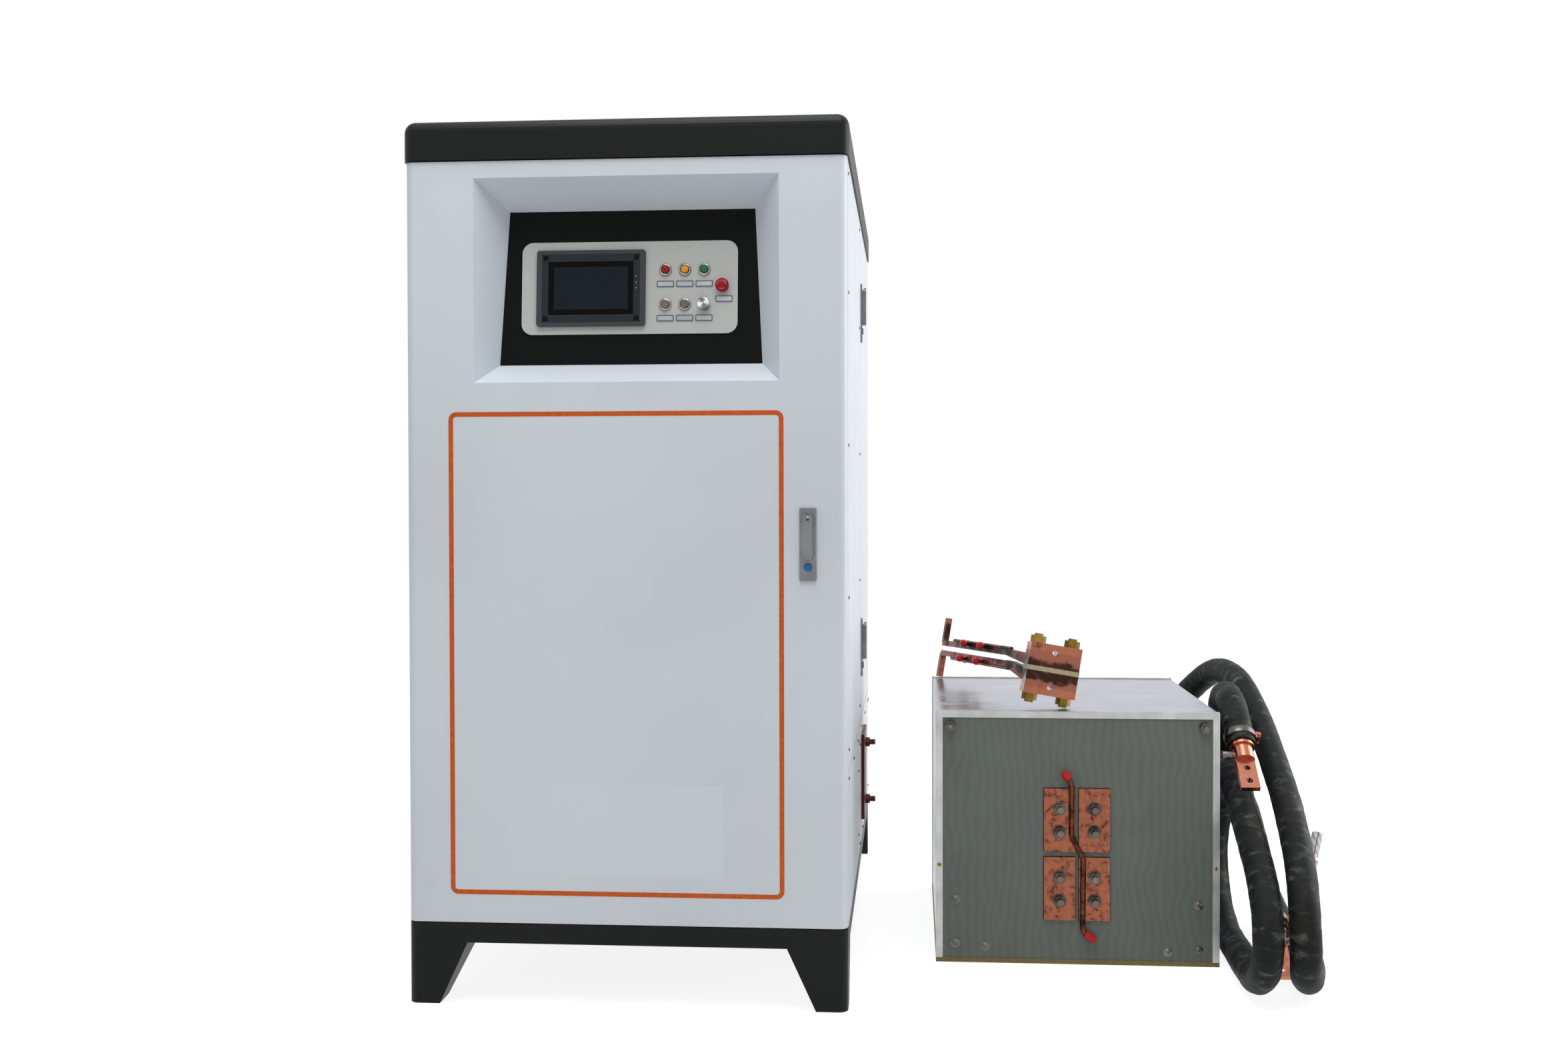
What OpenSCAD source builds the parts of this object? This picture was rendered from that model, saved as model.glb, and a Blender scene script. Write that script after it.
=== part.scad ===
// Induction heating machine: a power cabinet, a heating station joined to it by two water-cooled
// cables, and a clamped inductor that lies on the station.
// The origin is on the floor, at the middle of the whole. X runs from the cabinet to the station.

/* [Cabinet] */
// Width of the cabinet's body
cabinet_w = 900; // [860:1:960]
// Depth of the cabinet's body
cabinet_d = 1500; // [1440:1:1600]
// Height to the top of the cap
cabinet_h = 1800; // [1790:1:1860]
// Height of the plinth
plinth_h = 166; // [150:1:175]
// Wall of the plinth
plinth_wall = 4; // [3:0.5:6]
// Height of the plinth's band above its arches
plinth_band = 40; // [30:1:50]
// Width of a leg at the floor
leg_foot_w = 64.5; // [60:0.5:75]
// Width of a leg under the band
leg_top_w = 123; // [110:1:135]
// Height of the top cap
cap_h = 82; // [70:1:90]
// Distance that the cap stands out past the body
cap_overhang = 4; // [2:0.5:8]
// Wall of the cap
cap_wall = 3; // [2:0.5:4]
// Rounding of the cap's upper edge
cap_edge_r = 23; // [16:1:24]
// Outside radius of the upright edges
corner_r = 20; // [12:1:24]
// Sheet that doors and panels are folded from
sheet_t = 2.5; // [2:0.5:3]
// Depth of a folded door or panel
door_t = 28; // [26:1:30]
// Width of the folded returns
return_w = 20; // [14:1:24]
// Gap between the body's sheets and what they shut against
door_gap = 2; // [1:0.5:3]
// Side of the frame's square tubes
tube_w = 40; // [36:1:44]
// Wall of the frame's square tubes
tube_wall = 3; // [2:0.5:4]
// Height of the rail between the right side's lower panel and its door
side_rail_h = 475; // [450:1:500]
// Distance from the door's plane to the joint between front panel and rear door on the right side
side_seam_y = 775; // [765:1:785]
// Diameter of the doors' pivot pins
pivot_d = 8; // [6:1:10]
// Pivot pin's distance in from the door's side and from its face
pivot_inset = 12; // [11:0.5:14]
// Running clearance of pins and spindles, on the radius
running_gap = 0.05; // [0.03:0.01:0.1]

/* [Console] */
// Width of the recess at the door's face
recess_w = 622; // [600:1:640]
// Height of the recess at the door's face
recess_h = 414; // [400:1:424]
// Distance from the top of the cap down to the recess's lower edge
recess_drop = 532; // [520:1:545]
// Depth of the recess at its lower edge
recess_depth = 60; // [50:1:70]
// Lean of the console back from the upright, in degrees
console_lean = 4.5; // [2:0.5:6]
// Width of the control plate
plate_w = 448; // [440:1:460]
// Height of the control plate
plate_h = 192; // [186:1:200]
// Thickness of the control plate
plate_t = 3; // [2:0.5:4]
// Corner radius of the control plate
plate_r = 23; // [15:1:28]
// Width of the touch screen's frame
hmi_w = 226; // [210:1:230]
// Height of the touch screen's frame
hmi_h = 158; // [150:1:164]
// Distance that the touch screen's frame stands proud of the plate
hmi_proud = 7; // [5:0.5:10]
// Width of the touch screen's glass
glass_w = 177; // [165:1:185]
// Height of the touch screen's glass
glass_h = 112; // [100:1:120]
// Diameter of a control's bezel
bezel_d = 26; // [24:0.5:28]
// Diameter of a lamp's lens
lens_d = 16.5; // [14:0.5:18]
// Diameter of a push button's cap
button_d = 17; // [14:0.5:18]
// Travel of a push button
button_travel = 2.5; // [1.5:0.5:3]
// Diameter of the power knob
knob_d = 26; // [22:1:30]
// Height of the power knob
knob_h = 15; // [12:1:20]
// Diameter of the emergency stop's head
estop_d = 28; // [26:1:32]
// Travel of the emergency stop
estop_travel = 4; // [3:0.5:5]

/* [Locks] */
// Distance from the body's side to the front lock
lock_inset = 79; // [70:1:84]
// Distance from the recess's lower edge down to the front lock's spindle
lock_drop = 275; // [260:1:290]
// Width of a lock's plate
lock_w = 34; // [30:1:36]
// Height of a lock's plate
lock_h = 146; // [140:1:152]
// Distance that a lock's plate stands proud
lock_proud = 4; // [3:0.5:5]
// Diameter of a lock's spindle
spindle_d = 12; // [10:1:12]
// Width of a lock's handle
handle_w = 20.4; // [18:0.1:22]
// Length of a lock's handle below its spindle
handle_len = 83; // [78:1:86]
// Thickness of a lock's handle
handle_t = 9.5; // [8.5:0.5:11]
// Diameter of a lock's release button
release_d = 16.6; // [15:0.1:17]
// Travel of a lock's release button
release_travel = 2.5; // [1:0.5:3]
// Width of a lock's tongue
tongue_w = 16; // [14:1:18]

/* [Heating station] */
// Width of the station
station_w = 620; // [600:1:640]
// Depth of the station
station_d = 680; // [670:1:700]
// Height of the station
station_h = 560; // [550:1:580]
// Thickness of the base board
base_t = 10; // [8:1:14]
// Thickness of the front and rear boards
board_t = 10; // [8:1:12]
// Leg of the angle trims
trim_w = 15; // [12:1:18]
// Thickness of the angle trims
trim_t = 2; // [1.5:0.5:2.5]
// Thickness of the cover's sheet
cover_t = 2; // [1.5:0.5:2]
// Diameter of the tie rods
tie_d = 12; // [10:1:14]
// Width of a copper output block
block_w = 68; // [64:1:72]
// Height of a copper output block
block_h = 140; // [136:1:144]
// Gap between the left and the right blocks
block_gap_x = 8; // [6:1:12]
// Gap between the upper and the lower blocks
block_gap_z = 12; // [8:1:16]
// Height of the four blocks' common centre
block_z = 244; // [236:1:250]
// Distance that a block stands proud of the front board
block_proud = 5; // [3:1:8]
// Diameter of an output stud
stud_d = 14; // [12:1:16]
// Distance that an output stud stands proud of its block
stud_proud = 25; // [20:1:30]
// Diameter of the cooling tube between the blocks
jumper_d = 12; // [10:1:12]

/* [Inductor] */
// Width of the clamped pack
pack_w = 114; // [108:1:120]
// Depth of the clamped pack
pack_d = 104; // [96:1:110]
// Thickness of a copper block
block_t = 34; // [30:1:38]
// Thickness of a clamp plate
clamp_t = 17.5; // [15:0.5:20]
// Thickness of the insulating sheet
insulator_t = 10.5; // [8:0.5:12]
// Diameter of the tooling bores, half in a block and half in its clamp plate
tooling_d = 13.5; // [12:0.5:16]
// Diameter of the brass bolts
bolt_d = 20; // [16:1:20]
// Side of the square copper legs
copper_w = 14; // [12:1:16]
// Turn of the legs to the left of the pack's depth, in degrees
leg_turn = 17.5; // [14:0.5:20]
// Roll of the inductor as it lies, in degrees
pack_roll = 9.5; // [8:0.5:11]
// Lean of the inductor as it lies, in degrees
pack_lean = 5.4; // [4.4:0.2:6]

/* [Cables] */
// Outside diameter of a water-cooled cable
cable_d = 64; // [56:1:64]
// Outside diameter of the water hose
water_hose_d = 24; // [18:1:26]
// Diameter of a cable's copper lug
lug_d = 44; // [40:1:48]
// Width of a lug's tongue
lug_w = 40; // [34:1:44]
// Thickness of a lug's tongue
lug_t = 12; // [10:1:14]

/* [Hidden] */
$fn = 48;

// Colours as the photograph shows them
white_paint = "#dfe3ee";
black_paint = "#26272c";
plate_grey = "#d9dade";
hmi_grey = "#5d6672";
glass_black = "#15181d";
steel = "#b9bcc4";
copper = "#b5684a";
brass = "#c9a24a";
cap_red = "#d3202b";
board_green = "#7f8e88";
base_yellow = "#a8986a";
red_board = "#7c1f1f";
rubber_black = "#1f2326";
ferrite_grey = "#4b4d50";

// One overrun serves every cut
over = 1;
// Gap between bodies that pass or rest on each other
clearance = 0.3;

// Cabinet places
cabinet_x = -400;
body_top = cabinet_h - cap_h;
door_low = plinth_h + door_gap;
door_high = body_top - door_gap;
door_tall = door_high - door_low;
panel_gap = 5;
panel_y = door_t + panel_gap;
panel_end_y = cabinet_d - panel_y;
side_x = cabinet_w / 2;
post_x = side_x - panel_y;
narrow_post_w = tube_w - 6;
pivot_x = -side_x + pivot_inset;
pivot_y = door_t / 2;
side_pivot_x = side_x - pivot_y;
side_pivot_y = panel_end_y - pivot_inset - 6;
side_door_low = side_rail_h + door_gap * 2;
side_door_high = body_top - door_gap;
boss_d = pivot_d + 10;
boss_h = 24;
collar_d = pivot_d * 2;
pin_reach = 8;
deck_w = 60;
anchor_d = 13;
anchor_inset = 34;
foot_t = 6;
mid_post_y = side_seam_y;
mount_board_t = 4;
mount_board_margin = 120;
mount_board_w = cabinet_w - 2 * mount_board_margin;
mount_board_low = 440;
mount_board_top_gap = 58;
mount_board_h = body_top - mount_board_top_gap - mount_board_low;
beam_shares = [0.033, 0.377, 0.705];

// Recess and console
recess_x = 3;
recess_draft = 0.65;
recess_slant = sqrt(1 + recess_draft * recess_draft);
recess_flange = 18;
recess_z = cabinet_h - recess_drop;
console_z = recess_z + recess_draft * recess_depth;
console_top_depth = (recess_depth + (recess_z + recess_h - console_z) * tan(console_lean))
    / (1 + recess_draft * tan(console_lean));
console_tall = (recess_z + recess_h - recess_draft * console_top_depth - console_z) / cos(console_lean);
console_low_half = recess_w / 2 - recess_draft * recess_depth;
console_top_half = recess_w / 2 - recess_draft * console_top_depth;
console_panel_t = 3;
plate_x = -3.5;
plate_up = 159;
plate_hole_gap = 0.5;
hmi_x = -79;
hmi_up = -1;
hmi_back_w = hmi_w - 24;
hmi_back_h = hmi_h - 20;
hmi_back_depth = 42;
hmi_corner_r = 6;
lamp_x_list = [75, 115, 155];
lamp_up = 36;
button_up = -36;
stop_x = 75;
start_x = 115;
knob_x = 155;
estop_x = 193;
estop_up = 1;
bezel_h = 3.5;
body_d = 22;
body_depth = 34;
button_len = 18;
button_sink = 0.5;
button_proud = bezel_h + button_travel - button_sink;
lens_proud = 6;
lens_edge = 2;
shaft_d = 6;
knob_gap = 1;
estop_stem_d = 10;
estop_collar_h = 2;
estop_head_h = 11;
estop_head_gap = 0.5;

// Locks: x along the wall, y into it, z up from the spindle's axis
side_lock_back = 85;
side_lock_drop = 167;
side_lock_rise = 233;
front_lock_x = side_x - lock_inset;
front_lock_z = recess_z - lock_drop;
side_lock_y = side_seam_y + side_lock_back;
side_lock_z_list = [body_top - side_lock_drop, side_rail_h + side_lock_rise];
lock_above = 19.5;
lock_case_w = 26;
lock_case_h = 128;
lock_case_depth = 20;
lock_case_low = lock_above - (lock_h + lock_case_h) / 2;
eye_t = 6;
eye_d = 9;
eye_y = -9;
handle_pin_d = 4;
handle_pin_inset = 1.5;
lock_plate_r = 3;
eye_flat = 1;
release_down = 98.6;
release_len = 14;
tongue_t = 4;
tongue_y = door_t + panel_gap + tube_w + 2;
front_tongue = 34;
side_tongue = 80;

// Station places
station_x = 541;
station_y = -380;
tie_x = station_w / 2 - 32;
tie_z = station_h - 33;
nut_af = 22;
nut_h = 11;
washer_d = 30;
tie_washer_d = 26;
washer_t = 2.5;
stud_up_share = 0.185;
window_gap = 1;

// A box between its lowest and its highest corner
module span(low, high) {
    translate(low) cube(high - low);
}

// A box that stands on z, centred in x and y
module block(w, d, h) {
    translate([-w / 2, -d / 2, 0]) cube([w, d, h]);
}

// Outline with four round corners, centred
module round_rect(w, d, r) {
    square([w - 2 * r, d], center = true);
    square([w, d - 2 * r], center = true);
    for (x = [-1, 1], y = [-1, 1]) translate([x * (w / 2 - r), y * (d / 2 - r)]) circle(r);
}

// Plan of a door whose two front edges are round, with its face on y = 0
module front_outline(w, d, r) {
    translate([-w / 2, r]) square([w, d - r]);
    translate([-w / 2 + r, 0]) square([w - 2 * r, d]);
    for (s = [-1, 1]) translate([s * (w / 2 - r), r]) intersection() {
        circle(r);
        translate([-r, -r]) square([2 * r, r]);
    }
}

// Hexagonal nut that stands on z
module nut(af, h, hole) {
    difference() {
        cylinder(h = h, d = af / cos(30), $fn = 6);
        translate([0, 0, -over]) cylinder(h = h + 2 * over, d = hole);
    }
}

module in_cabinet() {
    translate([cabinet_x, -cabinet_d / 2, 0]) children();
}

module in_station() {
    translate([station_x, station_y, 0]) children();
}

// Outline of one side's arch, grown by a wall
module arch_outline(length, grow) {
    half_low = length / 2 - leg_foot_w + grow;
    half_top = length / 2 - leg_top_w + grow;
    arch_h = plinth_h - plinth_band + grow;
    polygon([[-half_low, -over], [half_low, -over], [half_low, 0], [half_top, arch_h],
        [-half_top, arch_h], [-half_low, 0]]);
}

module arches(grow) {
    translate([0, cabinet_d + over, 0]) rotate([90, 0, 0])
        linear_extrude(cabinet_d + 2 * over) arch_outline(cabinet_w, grow);
    translate([-side_x - over, cabinet_d / 2, 0]) rotate([90, 0, 90])
        linear_extrude(cabinet_w + 2 * over) arch_outline(cabinet_d, grow);
}

module plinth() {
    color(black_paint) in_cabinet() difference() {
        translate([0, cabinet_d / 2, 0]) linear_extrude(plinth_h)
            round_rect(cabinet_w, cabinet_d, corner_r);
        arches(0);
        difference() {
            translate([0, cabinet_d / 2, foot_t]) linear_extrude(plinth_h - foot_t - plinth_wall)
                round_rect(cabinet_w - 2 * plinth_wall, cabinet_d - 2 * plinth_wall, corner_r - plinth_wall);
            arches(plinth_wall);
        }
        translate([0, cabinet_d / 2, plinth_h - plinth_wall - over]) linear_extrude(plinth_wall + 2 * over)
            round_rect(cabinet_w - 2 * deck_w, cabinet_d - 2 * deck_w, corner_r);
        for (x = [-1, 1], y = [anchor_inset, cabinet_d - anchor_inset])
            translate([x * (side_x - anchor_inset), y, -over])
                cylinder(h = foot_t + 2 * over, d = anchor_d);
        translate([pivot_x, pivot_y, plinth_h - plinth_wall - over])
            cylinder(h = plinth_wall + 2 * over, r = pivot_d / 2 + running_gap);
    }
}

// Square tube along one axis, open at its ends, from a corner
module tube_along(axis, length, w = tube_w) {
    size = [for (i = [0:2]) i == axis ? length : (i == 0 ? w : tube_w)];
    bore = [for (i = [0:2]) i == axis ? length + 2 * over : size[i] - 2 * tube_wall];
    start = [for (i = [0:2]) i == axis ? -over : tube_wall];
    difference() {
        cube(size);
        translate(start) cube(bore);
    }
}

module frame() {
    post_h = body_top - plinth_h;
    color(black_paint) in_cabinet() {
        translate([-post_x, panel_y, plinth_h]) tube_along(2, post_h);
        translate([post_x - narrow_post_w, panel_y, plinth_h]) tube_along(2, post_h, narrow_post_w);
        for (y = [mid_post_y - tube_w / 2, panel_end_y - tube_w]) {
            translate([-post_x, y, plinth_h]) tube_along(2, post_h);
            translate([post_x - tube_w, y, plinth_h]) tube_along(2, post_h);
        }
        for (z = [plinth_h, body_top - tube_w]) {
            translate([-post_x + tube_w, panel_y, z])
                tube_along(0, 2 * post_x - tube_w - narrow_post_w);
            translate([-post_x + tube_w, panel_end_y - tube_w, z])
                tube_along(0, 2 * (post_x - tube_w));
        }
        for (z = [plinth_h, body_top - tube_w], x = [-post_x, post_x - tube_w])
            translate([x, panel_y + tube_w, z]) tube_along(1, panel_end_y - panel_y - 2 * tube_w);
        translate([post_x - tube_w, mid_post_y + tube_w / 2, side_rail_h - tube_w])
            tube_along(1, panel_end_y - mid_post_y - tube_w * 1.5);
        for (share = beam_shares)
            translate([-post_x + tube_w, mid_post_y - tube_w / 2, mount_board_low + mount_board_h * share])
            tube_along(0, 2 * (post_x - tube_w));
        translate([0, mid_post_y - tube_w / 2 - mount_board_t / 2, mount_board_low])
            block(mount_board_w, mount_board_t, mount_board_h);
    }
}

// Solid with round corners and a round upper edge
module cap_solid(w, d, h, r, edge) {
    hull() for (x = [-1, 1], y = [-1, 1]) translate([x * (w / 2 - r), y * (d / 2 - r), 0])
        rotate_extrude($fn = 32) {
            square([r - edge, h]);
            square([r, h - edge]);
            translate([r - edge, h - edge]) intersection() {
                circle(edge, $fn = 24);
                square(edge);
            }
        }
}

module top_cap() {
    w = cabinet_w + 2 * cap_overhang;
    d = cabinet_d + 2 * cap_overhang;
    r = corner_r + cap_overhang;
    color(black_paint) in_cabinet() {
        difference() {
            translate([0, cabinet_d / 2, body_top]) cap_solid(w, d, cap_h, r, min(cap_edge_r, r - over));
            translate([0, cabinet_d / 2, body_top - over])
                cap_solid(w - 2 * cap_wall, d - 2 * cap_wall, cap_h - cap_wall + over, r - cap_wall,
                    min(cap_edge_r, r - over) - cap_wall);
        }
        difference() {
            translate([0, cabinet_d / 2, body_top]) linear_extrude(cap_wall)
                round_rect(w - cap_wall, d - cap_wall, r - cap_wall);
            translate([0, cabinet_d / 2, body_top - over]) linear_extrude(cap_wall + 2 * over)
                round_rect(cabinet_w - 2 * deck_w, cabinet_d - 2 * deck_w, corner_r);
            for (p = [[pivot_x, pivot_y], [side_pivot_x, side_pivot_y]])
                translate([p[0], p[1], body_top - over])
                    cylinder(h = cap_wall + 2 * over, r = pivot_d / 2 + running_gap);
        }
    }
}

// Frustum of the recess, its mouth on y = 0, grown by a wall
module recess_body(grow, depth = 100) {
    front = -over;
    half_w = recess_w / 2 + grow;
    half_h = recess_h / 2 + grow;
    corners = [[-1, -1], [1, -1], [1, 1], [-1, 1]];
    rings = [for (y = [front, depth]) [for (c = corners)
        [c[0] * (half_w - recess_draft * y), y, c[1] * (half_h - recess_draft * y)]]];
    translate([recess_x, 0, recess_z + recess_h / 2])
        polyhedron(points = concat(rings[0], rings[1]),
            faces = [[3, 2, 1, 0], [4, 5, 6, 7], [0, 1, 5, 4], [1, 2, 6, 5], [2, 3, 7, 6], [3, 0, 4, 7]]);
}

// The console's plane: x to the right, y up it, z out of it, from the middle of its lower edge
module on_console() {
    translate([recess_x, recess_depth, console_z]) rotate([90 - console_lean, 0, 0]) children();
}

module console_outline(grow) {
    polygon([[-console_low_half - grow, -grow], [console_low_half + grow, -grow],
        [console_top_half + grow, console_tall + grow], [-console_top_half - grow, console_tall + grow]]);
}

module door_recess() {
    difference() {
        union() {
            recess_body(sheet_t * recess_slant);
            on_console() linear_extrude(sheet_t) console_outline(recess_flange);
        }
        on_console() translate([-cabinet_w, -cabinet_w, -cabinet_w])
            cube([2 * cabinet_w, 2 * cabinet_w, cabinet_w]);
        translate([-cabinet_w, -cabinet_w, recess_z - recess_h])
            cube([2 * cabinet_w, cabinet_w, 3 * recess_h]);
    }
}

module front_door() {
    color(white_paint) in_cabinet() difference() {
        union() {
            translate([0, 0, door_low]) linear_extrude(door_tall) difference() {
                front_outline(cabinet_w, door_t, corner_r);
                translate([0, sheet_t]) front_outline(cabinet_w - 2 * sheet_t, door_t, corner_r - sheet_t);
            }
            for (z = [door_low, door_high - sheet_t]) translate([0, 0, z]) linear_extrude(sheet_t)
                front_outline(cabinet_w, door_t, corner_r);
            for (s = [-1, 1]) translate([s * (side_x - return_w / 2), door_t - sheet_t / 2, door_low])
                block(return_w, sheet_t, door_tall);
            for (z = [door_low, door_high - boss_h]) translate([pivot_x, pivot_y, z])
                cylinder(h = boss_h, d = boss_d);
            for (s = [-1, 1]) translate([s * side_x / 2, door_t / 2, door_low])
                block(return_w * 2, door_t - sheet_t, recess_z - door_low - tube_w);
            door_recess();
        }
        recess_body(0);
        for (z = [door_low, door_high - boss_h]) translate([pivot_x, pivot_y, z - over])
            cylinder(h = boss_h + 2 * over, r = pivot_d / 2 + running_gap);
        translate([front_lock_x, door_t / 2 - over, front_lock_z + lock_case_low - clearance])
            block(lock_case_w + 2 * clearance, door_t + 2 * over, lock_case_h + 2 * clearance);
    }
}

// Folded pan: outer face on y = 0, walls back to its depth, centred in x and standing on z
module pan(w, h, depth) {
    difference() {
        translate([-w / 2, 0, 0]) cube([w, depth, h]);
        translate([-w / 2 + sheet_t, sheet_t, sheet_t]) cube([w - 2 * sheet_t, depth, h - 2 * sheet_t]);
    }
    for (s = [-1, 1]) translate([s * (w - return_w) / 2, depth - sheet_t / 2, 0])
        block(return_w, sheet_t, h);
}

// A right-hand wall's pan: x along the wall towards the rear, y into the cabinet
module on_right_wall() {
    in_cabinet() translate([side_x, 0, 0]) rotate([0, 0, 90]) children();
}

module right_rear_door() {
    front_y = side_seam_y + door_gap;
    rear_y = side_pivot_y + pivot_inset - over;
    color(white_paint) on_right_wall() difference() {
        union() {
            translate([(front_y + rear_y) / 2, 0, side_door_low])
                pan(rear_y - front_y, side_door_high - side_door_low, door_t);
            for (z = [side_door_low, side_door_high - boss_h])
                translate([side_pivot_y, pivot_y, z]) cylinder(h = boss_h, d = boss_d);
        }
        for (z = [side_door_low, side_door_high - boss_h]) translate([side_pivot_y, pivot_y, z - over])
            cylinder(h = boss_h + 2 * over, r = pivot_d / 2 + running_gap);
        for (z = side_lock_z_list)
            translate([side_lock_y, door_t / 2 - over, z + lock_case_low - clearance])
                block(lock_case_w + 2 * clearance, door_t + 2 * over, lock_case_h + 2 * clearance);
    }
}

module right_front_panel() {
    color(white_paint) on_right_wall() translate([(panel_y + side_seam_y - door_gap) / 2, 0, side_door_low])
        pan(side_seam_y - door_gap - panel_y, side_door_high - side_door_low, panel_y);
}

terminal_y = 965;
terminal_w = 190;
terminal_low = 215;
terminal_h = 215;
terminal_t = 8;
terminal_margin = 6;
terminal_stud_up_list = [35, 183];
slot_w = 9;
slot_h = 73;
slot_z = 281;
slot_y_list = [674, 1250, 1290];

module right_lower_panel() {
    color(white_paint) on_right_wall() difference() {
        translate([(panel_y + panel_end_y) / 2, 0, plinth_h])
            pan(panel_end_y - panel_y, side_rail_h - plinth_h, panel_y);
        translate([terminal_y - terminal_w / 2 + terminal_margin, -over, terminal_low + terminal_margin])
            cube([terminal_w - 2 * terminal_margin, sheet_t + 2 * over, terminal_h - 2 * terminal_margin]);
        for (y = slot_y_list) translate([y, -over, slot_z]) cube([slot_w, sheet_t + 2 * over, slot_h]);
        translate([side_pivot_y, pivot_y, side_rail_h - sheet_t - over])
            cylinder(h = sheet_t + 2 * over, r = pivot_d / 2 + running_gap);
    }
}

module left_panel() {
    color(white_paint) in_cabinet() translate([-side_x, (panel_y + panel_end_y) / 2, door_low])
        rotate([0, 0, -90]) pan(panel_end_y - panel_y, door_tall, panel_y);
}

socket_x_list = [-260, -180];
socket_z = 300;
socket_d = 36;
socket_bore = 20.8;
socket_proud = 8;
louvre_rows = 14;
louvre_w = 240;
louvre_slot_h = 8;
louvre_pitch = 24;
louvre_low = 1180;
louvre_x_list = [-160, 160];
mains_d = 60;
mains_x = 240;
mains_z = 300;

module rear_panel() {
    color(white_paint) in_cabinet() translate([0, cabinet_d, 0]) rotate([0, 0, 180]) difference() {
        union() {
            translate([0, 0, door_low]) linear_extrude(door_tall) difference() {
                front_outline(cabinet_w, panel_y - door_gap, corner_r);
                translate([0, sheet_t]) front_outline(cabinet_w - 2 * sheet_t, panel_y, corner_r - sheet_t);
            }
            for (z = [door_low, door_high - sheet_t]) translate([0, 0, z]) linear_extrude(sheet_t)
                front_outline(cabinet_w, panel_y - door_gap, corner_r);
        }
        for (x = louvre_x_list, i = [0:louvre_rows - 1])
            translate([x - louvre_w / 2, -over, louvre_low + i * louvre_pitch])
                cube([louvre_w, sheet_t + 2 * over, louvre_slot_h]);
        for (x = socket_x_list) translate([-x, -over, socket_z]) rotate([-90, 0, 0])
            cylinder(h = sheet_t + 2 * over, d = socket_d + 2 * clearance);
        translate([-mains_x, -over, mains_z]) rotate([-90, 0, 0])
            cylinder(h = sheet_t + 2 * over, d = mains_d);
    }
}

module hinge_pins() {
    color(steel) in_cabinet() {
        translate([pivot_x, pivot_y, plinth_h - plinth_wall]) cylinder(h = plinth_wall + boss_h, d = pivot_d);
        translate([pivot_x, pivot_y, plinth_h]) cylinder(h = door_gap - clearance, d = collar_d);
        translate([pivot_x, pivot_y, body_top - boss_h]) cylinder(h = boss_h + cap_wall, d = pivot_d);
        translate([side_pivot_x, side_pivot_y, side_rail_h - sheet_t - pin_reach])
            cylinder(h = pin_reach + boss_h + sheet_t, d = pivot_d);
        translate([side_pivot_x, side_pivot_y, side_rail_h])
            cylinder(h = 2 * door_gap - clearance, d = collar_d);
        translate([side_pivot_x, side_pivot_y, body_top - boss_h])
            cylinder(h = boss_h + cap_wall, d = pivot_d);
    }
}

// The control plate's plane, with its origin at the plate's middle on the black panel
module on_plate() {
    on_console() translate([plate_x, plate_up, 0]) children();
}

module control_holes(d, low, high) {
    for (x = lamp_x_list) translate([x, lamp_up, low]) cylinder(h = high - low, d = d);
    for (x = [stop_x, start_x, knob_x]) translate([x, button_up, low]) cylinder(h = high - low, d = d);
    translate([estop_x, estop_up, low]) cylinder(h = high - low, d = d);
}

module hmi_window(low, high) {
    translate([hmi_x, hmi_up, low]) linear_extrude(high - low)
        square([hmi_back_w + 2 * plate_hole_gap, hmi_back_h + 2 * plate_hole_gap], center = true);
}

module console_panel() {
    color(black_paint) in_cabinet() on_console() difference() {
        translate([0, 0, -console_panel_t]) linear_extrude(console_panel_t)
            console_outline(recess_flange - over);
        translate([plate_x, plate_up, 0]) {
            hmi_window(-console_panel_t - over, over);
            control_holes(body_d + plate_hole_gap, -console_panel_t - over, over);
        }
    }
}

module console_plate() {
    color(plate_grey) in_cabinet() on_plate() difference() {
        linear_extrude(plate_t) round_rect(plate_w, plate_h, plate_r);
        hmi_window(-over, plate_t + over);
        control_holes(body_d + plate_hole_gap, -over, plate_t + over);
    }
}

module hmi_bezel() {
    pocket = hmi_proud / 2;
    color(hmi_grey) in_cabinet() on_plate() translate([hmi_x, hmi_up, 0]) difference() {
        union() {
            translate([0, 0, plate_t]) linear_extrude(hmi_proud) round_rect(hmi_w, hmi_h, hmi_corner_r);
            translate([0, 0, -hmi_back_depth]) linear_extrude(hmi_back_depth + plate_t)
                square([hmi_back_w, hmi_back_h], center = true);
        }
        translate([0, 0, plate_t + hmi_proud - pocket]) linear_extrude(pocket + over)
            square([glass_w, glass_h], center = true);
    }
}

module hmi_screen() {
    pocket = hmi_proud / 2;
    color(glass_black) in_cabinet() on_plate() translate([hmi_x, hmi_up, plate_t + hmi_proud - pocket])
        linear_extrude(pocket - over) square([glass_w - clearance, glass_h - clearance], center = true);
}

// Ring on the plate with a threaded barrel behind it
module bezel(bore) {
    difference() {
        union() {
            translate([0, 0, plate_t]) cylinder(h = bezel_h, d1 = bezel_d, d2 = bezel_d - 2);
            translate([0, 0, -body_depth]) cylinder(h = body_depth + plate_t, d = body_d);
        }
        translate([0, 0, -body_depth + plate_t]) cylinder(h = 2 * body_depth, d = bore);
    }
}

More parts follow.
